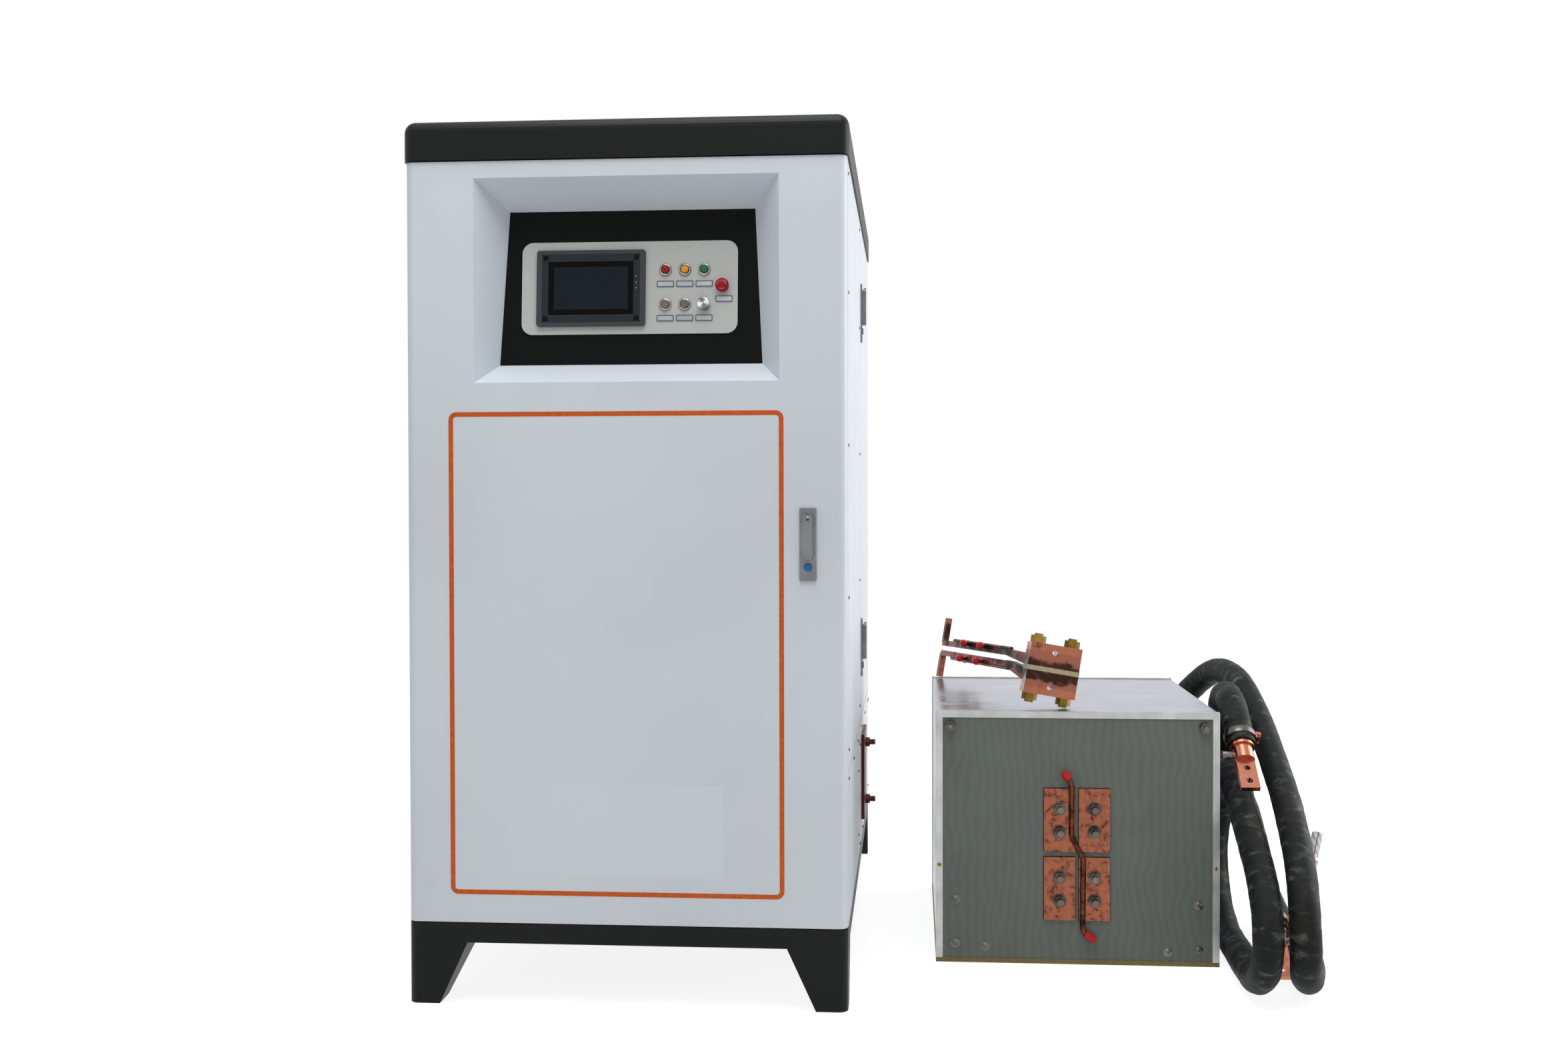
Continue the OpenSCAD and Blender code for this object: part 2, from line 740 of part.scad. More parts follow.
module control_fittings() {
    in_cabinet() on_plate() {
        color(steel) {
            for (x = lamp_x_list) translate([x, lamp_up, 0]) bezel(lens_d);
            for (x = [stop_x, start_x]) translate([x, button_up, 0]) bezel(button_d + 2 * clearance);
            translate([knob_x, button_up, -body_depth]) difference() {
                cylinder(h = body_depth + plate_t, d = body_d);
                translate([0, 0, plate_t]) cylinder(h = 2 * body_depth, r = shaft_d / 2 + running_gap);
            }
            translate([estop_x, estop_up, -body_depth]) difference() {
                union() {
                    cylinder(h = body_depth + plate_t, d = body_d);
                    translate([0, 0, body_depth + plate_t]) cylinder(h = estop_collar_h, d = bezel_d);
                }
                translate([0, 0, plate_t]) cylinder(h = 2 * body_depth, r = estop_stem_d / 2 + running_gap);
            }
        }
        lens_colours = ["#c0202a", "#e0a020", "#18804a"];
        for (i = [0:len(lamp_x_list) - 1]) color(lens_colours[i])
            translate([lamp_x_list[i], lamp_up, plate_t]) {
                cylinder(h = bezel_h, d = lens_d - clearance);
                translate([0, 0, bezel_h])
                    cylinder(h = lens_proud - bezel_h, d1 = lens_d - clearance, d2 = lens_d - 2 * lens_edge);
            }
    }
}

module push_button(x) {
    in_cabinet() on_plate() translate([x, button_up, plate_t + button_proud - button_len])
        cylinder(h = button_len, d = button_d);
}

module stop_button() {
    color(steel) push_button(stop_x);
}

module start_button() {
    color(steel) push_button(start_x);
}

module power_knob() {
    edge = knob_gap;
    color(steel) in_cabinet() on_plate() translate([knob_x, button_up, plate_t + knob_gap]) {
        rotate_extrude() polygon([[0, 0], [knob_d / 2, 0], [knob_d / 2, knob_h * 0.3],
            [knob_d / 2 - edge, knob_h * 0.3 + edge], [knob_d / 2 - edge, knob_h - edge],
            [knob_d / 2 - 2 * edge, knob_h], [0, knob_h]]);
        translate([0, 0, -body_depth + plate_t]) cylinder(h = body_depth, d = shaft_d);
    }
}

estop_z = plate_t + estop_collar_h + estop_travel + estop_head_gap;

module estop_stem() {
    color(steel) in_cabinet() on_plate() translate([estop_x, estop_up, estop_z - body_depth + estop_travel])
        cylinder(h = body_depth + estop_head_h / 2 - estop_travel, d = estop_stem_d);
}

module estop_head() {
    color(cap_red) in_cabinet() on_plate() translate([estop_x, estop_up, estop_z]) difference() {
        rotate_extrude() {
            square([estop_d / 2 - 2, estop_head_h * 0.7]);
            translate([0, 2]) square([estop_d / 2, estop_head_h * 0.45]);
            translate([0, estop_head_h * 0.35]) intersection() {
                scale([1, estop_head_h * 0.65 / (estop_d / 2)]) circle(estop_d / 2);
                square(estop_d);
            }
        }
        translate([0, 0, -over]) cylinder(h = estop_head_h / 2 + over, r = estop_stem_d / 2 + running_gap);
    }
}

handle_tilt = 25;

// The front lock's own frame on the door, and a side lock's on the right wall
module at_front_lock() {
    in_cabinet() translate([front_lock_x, 0, front_lock_z]) children();
}

module at_side_lock(i) {
    on_right_wall() translate([side_lock_y, 0, side_lock_z_list[i]]) children();
}

// Cylinder along y, into the wall
module into_wall(y, length, d) {
    translate([0, y, 0]) rotate([-90, 0, 0]) cylinder(h = length, d = d);
}

module lock_plate() {
    color(steel) difference() {
        union() {
            translate([0, 0, lock_above - lock_h / 2]) rotate([90, 0, 0]) linear_extrude(lock_proud)
                round_rect(lock_w, lock_h, lock_plate_r);
            translate([0, lock_case_depth / 2, lock_case_low])
                block(lock_case_w, lock_case_depth, lock_case_h);
        }
        into_wall(-lock_proud - over, lock_proud + lock_case_depth + 2 * over, spindle_d + 2 * running_gap);
        translate([0, 0, -release_down])
            into_wall(-lock_proud - over, release_len + over, release_d + 2 * clearance);
    }
}

module lock_spindle(tongue) {
    color(steel) {
        into_wall(-lock_proud, tongue_y + lock_proud, spindle_d);
        translate([0, tongue_y + tongue_t / 2, -tongue]) block(tongue_w, tongue_t, tongue + tongue_w / 2);
        translate([-eye_t / 2, eye_y, -eye_d / 2 + eye_flat])
            cube([eye_t, -lock_proud - eye_y, eye_d - 2 * eye_flat]);
        translate([-eye_t / 2, eye_y, 0]) rotate([0, 90, 0]) cylinder(h = eye_t, d = eye_d);
        translate([-handle_w / 2 + handle_pin_inset, eye_y, 0]) rotate([0, 90, 0])
            cylinder(h = handle_w - 2 * handle_pin_inset, d = handle_pin_d);
    }
}

module lock_handle() {
    back = -lock_proud - clearance;
    color(steel) difference() {
        union() {
            translate([0, back, 0]) rotate([90, 0, 0]) cylinder(h = handle_t, d = handle_w);
            translate([0, back - handle_t / 2, -handle_len + handle_w / 4])
                block(handle_w, handle_t, handle_len - handle_w / 4);
            translate([0, back - handle_t / 2, -handle_len]) block(handle_w * 0.8, handle_t, handle_w);
        }
        translate([-eye_t / 2 - clearance, eye_y - eye_d / 2 - clearance, -eye_d / 2 - clearance])
            cube([eye_t + 2 * clearance, handle_t, handle_w]);
        translate([-handle_w / 2 + handle_pin_inset - clearance, eye_y, 0]) rotate([0, 90, 0])
            cylinder(h = handle_w - 2 * handle_pin_inset + 2 * clearance, r = handle_pin_d / 2 + running_gap);
        translate([0, eye_y, 0]) rotate([handle_tilt, 0, 0]) translate([-handle_w, back - eye_y, -handle_len])
            cube([2 * handle_w, handle_t, 2 * handle_len]);
    }
}

module lock_release() {
    color("#2f78a8") translate([0, 0, -release_down])
        into_wall(-lock_proud - release_travel, release_len - release_travel, release_d);
}

module front_lock_plate() {
    at_front_lock() lock_plate();
}

module front_lock_spindle() {
    at_front_lock() lock_spindle(front_tongue);
}

module front_lock_handle() {
    at_front_lock() lock_handle();
}

module front_lock_button() {
    at_front_lock() lock_release();
}

module side_lock_plates() {
    for (i = [0, 1]) at_side_lock(i) lock_plate();
}

module upper_lock_spindle() {
    at_side_lock(0) lock_spindle(side_tongue);
}

module upper_lock_handle() {
    at_side_lock(0) lock_handle();
}

module upper_lock_button() {
    at_side_lock(0) lock_release();
}

module lower_lock_spindle() {
    at_side_lock(1) lock_spindle(side_tongue);
}

module lower_lock_handle() {
    at_side_lock(1) lock_handle();
}

module lower_lock_button() {
    at_side_lock(1) lock_release();
}

// What stands on the mounting plate inside the cabinet, growing towards the front door
board_y = mid_post_y - tube_w / 2 - mount_board_t;

module on_board(x, share) {
    in_cabinet() translate([x, board_y, mount_board_low + mount_board_h * share])
        rotate([90, 0, 0]) children();
}

contactor_w = 170;
contactor_h = 190;
contactor_d = 70;
contactor_x = -240;
contactor_share = 0.115;
contactor_step = 10;
pole_w = 40;
pole_pitch = 52;
pole_t = 8;

module main_contactor() {
    color(black_paint) on_board(contactor_x, contactor_share) {
        translate([-contactor_w / 2, -contactor_h / 2, 0]) cube([contactor_w, contactor_h, contactor_d]);
        translate([-contactor_w / 2 + contactor_step, -contactor_h / 4, contactor_d])
            cube([contactor_w - 2 * contactor_step, contactor_h / 2, contactor_d * 0.6]);
        for (i = [-1, 0, 1], s = [-1, 1])
            translate([i * pole_pitch, s * (contactor_h / 2 + pole_w / 4) - pole_w / 2, contactor_d * 0.4])
                translate([-pole_w / 2, 0, 0]) cube([pole_w, pole_w, pole_t]);
    }
}

cap_rows = 2;
cap_columns = 5;
cap_d = 86;
cap_len = 150;
cap_pitch = 110;
cap_share = 0.525;
lam_t = 6;

module dc_capacitors() {
    half_w = cap_pitch * (cap_columns - 1) / 2;
    color(steel) on_board(0, cap_share) {
        for (i = [0:cap_columns - 1], j = [0:cap_rows - 1])
            translate([i * cap_pitch - half_w, (j - (cap_rows - 1) / 2) * cap_pitch, 0]) {
                cylinder(h = cap_len, d = cap_d);
                cylinder(h = cap_len + lam_t * 2, d = cap_d / 4);
            }
        translate([-half_w - cap_d / 2, -cap_pitch * cap_rows / 2, cap_len + lam_t])
            cube([2 * half_w + cap_d, cap_pitch * cap_rows, lam_t]);
    }
}

module_count = 3;
module_w = 120;
module_h = 180;
module_d = 40;
module_pitch = 150;
module_x = 150;
module_share = 0.262;
module_z = mount_board_low + mount_board_h * module_share;
cold_t = 24;
tab_t = 12;
tab_w = 16;
tab_h = 30;
tab_edge = 20;
tab_pitch = 55;

module power_modules() {
    color(steel) on_board(module_x - module_pitch / 2, module_share) {
        translate([-module_pitch * 1.45, -module_h * 0.6, 0])
            cube([module_pitch * 2.9, module_h * 1.2, cold_t]);
        for (i = [0:module_count - 1])
            translate([(i - 1) * module_pitch * 0.93 - module_w / 2, -module_h / 2, cold_t]) {
                cube([module_w, module_h, module_d]);
                for (j = [0:2]) translate([(module_w - tab_w) / 2, tab_edge + j * tab_pitch, module_d])
                    cube([tab_w, tab_h, tab_t]);
            }
    }
}

rack_w = 480;
rack_h = 240;
rack_d = 140;
rack_share = 0.869;
rack_cards = 8;

module control_rack() {
    color(ferrite_grey) on_board(0, rack_share) {
        difference() {
            translate([-rack_w / 2, -rack_h / 2, 0]) cube([rack_w, rack_h, rack_d]);
            translate([-rack_w / 2 + sheet_t, -rack_h / 2 + sheet_t, sheet_t])
                cube([rack_w - 2 * sheet_t, rack_h - 2 * sheet_t, rack_d]);
        }
        for (i = [0:rack_cards - 1])
            translate([(i + 0.5) * rack_w / rack_cards - rack_w / 2, -rack_h / 2 + sheet_t, sheet_t])
                cube([sheet_t, rack_h - 2 * sheet_t, rack_d - 4 * sheet_t]);
    }
}

bar_t = 10;
bar_w = 50;
bar_x = 344;
bar_step = 22;
riser_front_y = 560;
riser_step = 60;
link_top_list = [35, -35];
link_x = 206;

// Two bars from the modules' tabs down and back to the terminals in the right wall
module busbars() {
    tab_front = board_y - cold_t - module_d - tab_t;
    color(copper) in_cabinet() for (i = [0, 1]) {
        z = terminal_low + terminal_stud_up_list[i];
        x = bar_x - i * bar_step;
        y = riser_front_y + riser_step * (1 - i);
        top = module_z + link_top_list[i];
        span([x, y, z - bar_w / 2], [x + bar_t, y + bar_w, top]);
        span([x, y, z - bar_w / 2], [x + bar_t, terminal_y + bar_w / 2, z + bar_w / 2]);
        span([x, terminal_y - bar_t, z - bar_w / 2], [side_x - clearance, terminal_y + bar_t, z + bar_w / 2]);
        span([link_x, tab_front - bar_t, top - bar_w], [x + bar_t, tab_front, top]);
        span([x, y, top - bar_w], [x + bar_t, tab_front, top]);
    }
}

manifold_back = 100;
manifold_y = cabinet_d - manifold_back;
manifold_d = 48;
manifold_low = 240;
manifold_h = 620;
nozzle_count = 5;
nozzle_d = 14;

module water_manifold() {
    color(brass) in_cabinet() for (x = socket_x_list) translate([x, 0, 0]) difference() {
        union() {
            translate([0, manifold_y, manifold_low]) cylinder(h = manifold_h, d = manifold_d);
            translate([0, manifold_y, socket_z]) rotate([-90, 0, 0])
                cylinder(h = cabinet_d + socket_proud - manifold_y, d = socket_d);
            for (i = [0:nozzle_count - 1])
                translate([0, manifold_y, manifold_low + (i + 1.5) * manifold_h / (nozzle_count + 1)])
                    rotate([90, 0, 0]) cylinder(h = manifold_d, d = nozzle_d);
        }
        translate([0, manifold_y + manifold_d / 2, socket_z]) rotate([-90, 0, 0])
            cylinder(h = cabinet_d, d = socket_bore);
    }
}

module terminal_board() {
    color(red_board) on_right_wall() {
        difference() {
            translate([terminal_y, -terminal_t / 2, terminal_low]) block(terminal_w, terminal_t, terminal_h);
            for (up = terminal_stud_up_list) translate([terminal_y, 0, terminal_low + up])
                into_wall(-terminal_t - over, terminal_t + 2 * over, stud_d);
        }
        for (up = terminal_stud_up_list) translate([terminal_y, 0, terminal_low + up]) {
            into_wall(-terminal_t - stud_proud, stud_proud + terminal_t, stud_d);
            translate([0, -terminal_t, 0]) rotate([90, 0, 0])
                cylinder(h = nut_h, d = nut_af / cos(30), $fn = 6);
        }
    }
}

// Station: x from its middle, y from its front, z from the floor
board_w = station_w - 2 * trim_t - 2 * cover_t;
board_top = station_h - trim_t - cover_t;
block_x = (block_w + block_gap_x) / 2;
block_up = (block_h + block_gap_z) / 2;
block_front = trim_t - block_proud;
block_depth = 64;
rear_bar_x_list = [159, 269];
rear_bar_w = 50;
rear_bar_h = 80;
rear_bar_z = 70;
rear_bar_out = 66;
rear_bar_in = 80;

module station_base() {
    color(base_yellow) in_station() translate([0, station_d / 2, 0]) block(station_w, station_d, base_t);
}

module tie_holes(y) {
    for (s = [-1, 1]) translate([s * tie_x, y - over, tie_z]) rotate([-90, 0, 0])
        cylinder(h = board_t + 2 * over, d = tie_d + 2 * clearance);
}

module station_front_board() {
    color(board_green) in_station() difference() {
        translate([0, trim_t + board_t / 2, base_t]) block(board_w, board_t, board_top - base_t);
        tie_holes(trim_t);
        for (x = [-1, 1], z = [-1, 1])
            translate([x * block_x, trim_t + board_t / 2, block_z + z * block_up - block_h / 2 - window_gap])
                block(block_w + 2 * window_gap, board_t + 2 * over, block_h + 2 * window_gap);
    }
}

module station_rear_board() {
    rear = station_d - trim_t - board_t;
    color(board_green) in_station() difference() {
        translate([0, rear + board_t / 2, base_t]) block(board_w, board_t, board_top - base_t);
        tie_holes(rear);
        for (x = rear_bar_x_list) translate([x, rear + board_t / 2, rear_bar_z - clearance])
            block(rear_bar_w + 2 * clearance, board_t + 2 * over, rear_bar_h + 2 * clearance);
    }
}

module station_cover() {
    w = board_w + 2 * cover_t;
    color(steel) in_station() difference() {
        translate([0, station_d / 2, base_t]) block(w, station_d - 2 * trim_t, board_top + cover_t - base_t);
        translate([0, station_d / 2, base_t - over]) block(board_w, station_d, board_top - base_t + over);
    }
}

module station_trim() {
    color(steel) in_station() for (s = [0, 1])
        translate([0, s * station_d, 0]) mirror([0, s, 0]) difference() {
        translate([0, trim_w / 2, base_t]) block(station_w, trim_w, station_h - base_t);
        translate([0, trim_t + trim_w / 2, base_t - over])
            block(station_w - 2 * trim_t, trim_w, station_h - base_t - trim_t + over);
        translate([0, trim_w / 2, base_t - over])
            block(station_w - 2 * trim_w, trim_w + 2 * over, station_h - base_t - trim_w + over);
    }
}

module output_studs() {
    for (x = [-1, 1], z = [-1, 1], s = [-1, 1])
        translate([x * block_x, block_front, block_z + z * block_up + s * block_h * stud_up_share])
            children();
}

module station_fasteners() {
    rear = station_d - trim_t;
    color(steel) in_station() {
        for (s = [-1, 1]) translate([s * tie_x, 0, tie_z]) {
            translate([0, trim_t - washer_t - nut_h * 1.6, 0]) rotate([-90, 0, 0])
                cylinder(h = station_d + 2 * (washer_t + nut_h * 1.6 - trim_t), d = tie_d);
            for (e = [0, 1]) translate([0, e * station_d, 0]) mirror([0, e, 0])
                translate([0, trim_t, 0]) rotate([90, 0, 0]) {
                    difference() {
                        cylinder(h = washer_t, d = tie_washer_d);
                        translate([0, 0, -over])
                            cylinder(h = washer_t + 2 * over, d = tie_d + 2 * running_gap);
                    }
                    translate([0, 0, washer_t]) nut(nut_af, nut_h, tie_d + 2 * running_gap);
                }
        }
        output_studs() rotate([90, 0, 0]) {
            difference() {
                cylinder(h = washer_t, d = washer_d);
                translate([0, 0, -over]) cylinder(h = washer_t + 2 * over, d = stud_d + 2 * running_gap);
            }
            translate([0, 0, washer_t]) nut(nut_af, nut_h, stud_d + 2 * running_gap);
        }
    }
}

module output_blocks() {
    color(copper) in_station() {
        for (x = [-1, 1], z = [-1, 1])
            translate([x * block_x, block_front + block_depth / 2, block_z + z * block_up - block_h / 2])
                block(block_w, block_depth, block_h);
        output_studs() rotate([90, 0, 0]) cylinder(h = stud_proud, d = stud_d);
    }
}

// Round rod between two points
module rod(a, b, d) {
    v = b - a;
    translate(a) rotate([0, acos(v[2] / norm(v)), atan2(v[1], v[0])]) cylinder(h = norm(v), d = d);
}

jumper_y = block_front - jumper_d / 2 - clearance;
jumper_cap_d = 18;
jumper_sides = 12;
// The tube's points from the blocks' common centre, as shares of a block's height
jumper_shares = [[-0.136, 1.2], [-0.1, 1.136], [-0.086, 1.057], [-0.086, 0.4], [-0.079, 0.286],
    [0.086, -0.043], [0.093, -0.157], [0.086, -1.129], [0.093, -1.179], [0.121, -1.229]];
jumper_end_shares = [[-0.221, 1.314], [0.286, -1.35]];

module jumper_tube() {
    points = [for (s = jumper_shares) [s[0] * block_h, 0, s[1] * block_h]];
    ends = [for (s = jumper_end_shares) [s[0] * block_h, 0, s[1] * block_h]];
    in_station() translate([0, jumper_y, block_z]) {
        color(copper) swept(points, jumper_d, jumper_sides);
        color(cap_red) {
            rod(points[0], ends[0], jumper_cap_d);
            rod(points[len(points) - 1], ends[1], jumper_cap_d);
        }
    }
}

core_w = 300;
core_h = 300;
core_d = 150;
core_limb = 60;
core_y = 120;
core_z = block_z - core_h / 2;
winding_t = 24;

module transformer_core() {
    color(ferrite_grey) in_station() difference() {
        union() {
            translate([0, core_y + core_d / 2, core_z]) block(core_w, core_d, core_h);
            for (s = [-1, 1]) translate([s * (core_w - core_limb) / 2, core_y + core_d / 2, base_t])
                block(core_limb, core_d, core_z - base_t);
        }
        for (s = [-1, 1])
            translate([s * (core_w / 4 - core_limb / 8), core_y + core_d / 2, core_z + core_limb])
                block(core_w / 2 - core_limb * 1.25, core_d + 2 * over, core_h - 2 * core_limb);
    }
}

module primary_winding() {
    inner_w = core_limb + 2 * clearance;
    inner_d = core_d + 2 * clearance;
    tall = core_h - 2 * core_limb - 2 * clearance;
    color(copper) in_station() translate([0, core_y + core_d / 2, core_z + core_limb + clearance])
        difference() {
            block(inner_w + 2 * winding_t, inner_d + 2 * winding_t, tall);
            translate([0, 0, -over]) block(inner_w, inner_d, tall + 2 * over);
        }
    color(copper) in_station() for (z = [-1, 1])
        span([-block_x - block_w / 4, block_front + block_depth, block_z + z * block_up - block_w / 2],
            [block_x + block_w / 4, core_y - winding_t - clearance, block_z + z * block_up]);
}

tank_w = 150;
tank_d = 90;
tank_h = 200;
tank_y = 430;
tank_gap = 24;
tank_post_h = 40;
tank_post_d = 30;

module tank_capacitors() {
    color(steel) in_station() for (i = [-1, 0], j = [0, 1])
        translate([i * (tank_w + tank_gap) + tank_gap, tank_y + j * (tank_d + tank_gap), base_t]) {
            block(tank_w, tank_d, tank_h);
            for (s = [-1, 1]) translate([s * tank_w / 4, 0, tank_h])
                cylinder(h = tank_post_h, d = tank_post_d);
        }
}

module rear_terminals() {
    color(copper) in_station() for (x = rear_bar_x_list)
        span([x - rear_bar_w / 2, station_d - rear_bar_in, rear_bar_z],
            [x + rear_bar_w / 2, station_d + rear_bar_out, rear_bar_z + rear_bar_h]);
    color(copper) in_station() for (x = rear_bar_x_list)
        span([x - rear_bar_w / 4, station_d - rear_bar_in, base_t],
            [x + rear_bar_w / 4, station_d - rear_bar_in + bar_t, rear_bar_z]);
}

// Inductor: x across the pack, y from its face to the back, z from its middle
pack_x = -50.8;
pack_y = 17;
pack_half = insulator_t / 2 + block_t + clamp_t;
bolt_x = 38;
bolt_af = 30;
bolt_nut_h = 16;
bolt_proud = 5;
bolt_end = pack_half + bolt_nut_h + bolt_proud;
pack_rise = clearance + (bolt_x + bolt_d / 2) * sin(pack_roll)
    + cos(pack_roll) * ((pack_d + bolt_d) / 2 * sin(pack_lean) + bolt_end * cos(pack_lean));
leg_x = -78;
leg_y = 193;
leg_len = 480;
leg_upper_z = 25;
leg_lower_z = -1;
arm_up = 66;
arm_x = leg_x - leg_len * sin(leg_turn);
arm_y = leg_y + leg_len * cos(leg_turn);
foot_half = copper_w * 0.62;
foot_z = ((clearance + trim_t - pack_rise + (arm_x + foot_half) * sin(pack_roll)) / cos(pack_roll)
    + (arm_y + foot_half) * sin(pack_lean)) / cos(pack_lean);
nipple_at_share = [0.66, 0.83];
nipple_out = 31;
nipple_d = 12;
red_cap_d = 20;
red_cap_len = 22;
nipple_len_share = 1.5;
neck_w = copper_w * 2.4;
neck_h = copper_w * 1.8;
sheet_margin = 1;

module on_pack() {
    in_station() translate([pack_x, pack_y, station_h - trim_t + pack_rise])
        rotate([-pack_lean, pack_roll, 0]) children();
}

module on_leg(z) {
    translate([leg_x, leg_y, z]) rotate([0, 0, leg_turn]) children();
}

// Copper half of the inductor: block, neck, leg, arm and the stubs of its cooling tube
module inductor_half(side, z, arm) {
    block_z0 = side > 0 ? insulator_t / 2 : -insulator_t / 2 - block_t;
    stub_z = side * copper_w * 0.45;
    neck_z = side > 0 ? block_z0 : block_z0 + block_t - neck_h - clearance;
    color(copper) difference() {
        union() {
            translate([0, pack_d / 2, block_z0]) block(pack_w, pack_d, block_t);
            hull() {
                on_leg(z) translate([0, 0, -copper_w / 2 - over])
                    block(copper_w + 2 * over, copper_w * 2, copper_w + 2 * over);
                translate([(neck_w - pack_w) / 2, pack_d - over, neck_z])
                    block(neck_w, 2 * over, neck_h);
            }
            on_leg(z) {
                translate([-copper_w / 2, 0, -copper_w / 2]) cube([copper_w, leg_len, copper_w]);
                translate([0, leg_len, min(0, arm)]) block(copper_w, copper_w, abs(arm));
                translate([0, 0, side * copper_w * 0.7]) rotate([-90, 0, 0]) translate([0, 0, copper_w])
                    cylinder(h = leg_len * 0.82, d = nipple_d * 0.8);
                for (share = nipple_at_share) translate([0, leg_len * share, stub_z]) {
                    translate([-nipple_d / 4, -nipple_d / 2, -nipple_d / 2])
                        cube([nipple_out + nipple_d / 4, nipple_d, nipple_d]);
                    translate([nipple_out, 0, 0]) rotate([90, 0, -leg_turn])
                        cylinder(h = nipple_d * nipple_len_share, d = nipple_d);
                }
            }
        }
        for (s = [-1, 1]) translate([s * bolt_x, pack_d / 2, block_z0 - over])
            cylinder(h = block_t + 2 * over, d = bolt_d + 2 * clearance);
        translate([0, -over, side * (insulator_t / 2 + block_t)]) rotate([-90, 0, 0])
            cylinder(h = pack_d + 2 * over, d = tooling_d);
    }
}

module inductor_upper() {
    on_pack() inductor_half(1, leg_upper_z, arm_up);
}

module inductor_lower() {
    on_pack() inductor_half(-1, leg_lower_z, foot_z - leg_lower_z);
}

module clamp_plates() {
    color(copper) on_pack() for (side = [-1, 1]) difference() {
        translate([0, pack_d / 2, side > 0 ? pack_half - clamp_t : -pack_half])
            block(pack_w, pack_d, clamp_t);
        for (s = [-1, 1]) translate([s * bolt_x, pack_d / 2, -pack_half - over])
            cylinder(h = 2 * pack_half + 2 * over, d = bolt_d + 2 * clearance);
        translate([0, -over, side * (insulator_t / 2 + block_t)]) rotate([-90, 0, 0])
            cylinder(h = pack_d + 2 * over, d = tooling_d);
    }
}

module insulating_sheet() {
    color("#b9ad86") on_pack() difference() {
        translate([0, pack_d / 2, -insulator_t / 2]) block(pack_w + 2 * sheet_margin, pack_d, insulator_t);
        for (s = [-1, 1]) translate([s * bolt_x, pack_d / 2, -insulator_t])
            cylinder(h = 2 * insulator_t, d = bolt_d + 2 * clearance);
    }
}

module brass_bolts() {
    color(brass) on_pack() for (s = [-1, 1]) translate([s * bolt_x, pack_d / 2, 0]) {
        translate([0, 0, -bolt_end]) cylinder(h = 2 * bolt_end, d = bolt_d);
        for (m = [0, 1]) mirror([0, 0, m]) translate([0, 0, pack_half])
            nut(bolt_af, bolt_nut_h, bolt_d + 2 * running_gap);
    }
}

module inductor_caps() {
    color(cap_red) on_pack() for (side = [-1, 1]) on_leg(side > 0 ? leg_upper_z : leg_lower_z)
        for (share = nipple_at_share) translate([0, leg_len * share, side * copper_w * 0.45])
            translate([nipple_out, 0, 0]) rotate([90, 0, -leg_turn])
                translate([0, 0, nipple_d * nipple_len_share]) cylinder(h = red_cap_len, d = red_cap_d);
}

// Cables and hose, routes in the machine's own frame
cable_a_route = [[812, 372, 220], [812, 372, 290], [834, 372, 390], [884, 352, 490], [932, 286, 562],
    [958, 190, 592], [976, 60, 580], [988, -70, 526], [994, -200, 458], [993, -350, 386], [984, -480, 330],
    [974, -590, 270], [965, -662, 206], [963, -686, 136], [972, -650, 70], [996, -572, 36], [1022, -470, 33],
    [1034, -360, 33], [1038, -230, 33], [1034, -90, 50], [1020, 20, 120], [1000, 64, 220], [980, 62, 330],
    [968, 50, 390], [948, 18, 451], [917, -50, 526], [906, -140, 570], [903, -220, 568], [902, -290, 536],
    [903, -350, 484]];
cable_b_route = [[700, 372, 220], [700, 372, 290], [724, 420, 345], [790, 462, 368], [868, 446, 358],
    [908, 370, 350], [906, 250, 372], [902, 100, 384], [901, 20, 388], [900, -60, 400],
    [899, -180, 408], [898, -290, 388], [897, -390, 348], [897, -490, 302], [895, -590, 250],
    [891, -664, 196], [888, -692, 136], [887, -664, 74], [887, -596, 40], [889, -510, 33],
    [892, -400, 33], [895, -300, 33], [898, -200, 38], [906, -60, 80], [914, 20, 170], [924, 20, 262],
    [934, -60, 330], [942, -170, 322], [950, -270, 240], [955, -350, 150], [957, -420, 95]];
hose_route = [[1005, -440, 79], [1020, -436, 88], [1036, -404, 140], [1056, -345, 220], [1077, -312, 284]];
cable_sides = 10;
hose_sides = 8;

function unit(v) = v / norm(v);
function tangents(p) = [for (i = [0:len(p) - 1]) unit(p[min(i + 1, len(p) - 1)] - p[max(i - 1, 0)])];
function carried(t, n, i = 0) = i == len(t) ? [] :
    let (m = unit(n - t[i] * (n * t[i]))) concat([m], carried(t, m, i + 1));

// Tube swept along a route's own points
module swept(p, d, sides) {
    t = tangents(p);
    n = carried(t, cross(t[0], [0, 1, 0.1]));
    rings = [for (i = [0:len(p) - 1]) let (b = cross(t[i], n[i])) for (k = [0:sides - 1])
        let (a = 360 * k / sides) p[i] + d / 2 * (n[i] * cos(a) + b * sin(a))];
    last = len(p) - 1;
    sides_faces = [for (i = [0:last - 1], k = [0:sides - 1])
        let (a = i * sides + k, b = i * sides + (k + 1) % sides)
        for (f = [[a, a + sides, b], [b, a + sides, b + sides]]) f];
    ends = [[for (k = [0:sides - 1]) k], [for (k = [sides - 1:-1:0]) last * sides + k]];
    polyhedron(points = rings, faces = concat(sides_faces, ends));
}

module cable_a() {
    color(rubber_black) swept(cable_a_route, cable_d, cable_sides);
}

module cable_b() {
    color(rubber_black) swept(cable_b_route, cable_d, cable_sides);
}

lug_collar_d = 54;
lug_collar_h = 10;
lug_barrel_h = 34;
lug_tongue_len = 78;
lug_hole_d = 14;
lug_hole_share = [0.3, 0.75];
clip_w = 16;
clip_t = 2;
clip_back = 30;
clip_screw_d = 8;
clip_screw_out = 6;
clip_ear_t = 3;
clip_ear_h = 12;
clip_ear_out = 4;
nipple_len = 24;
hose_nipple_d = 16;

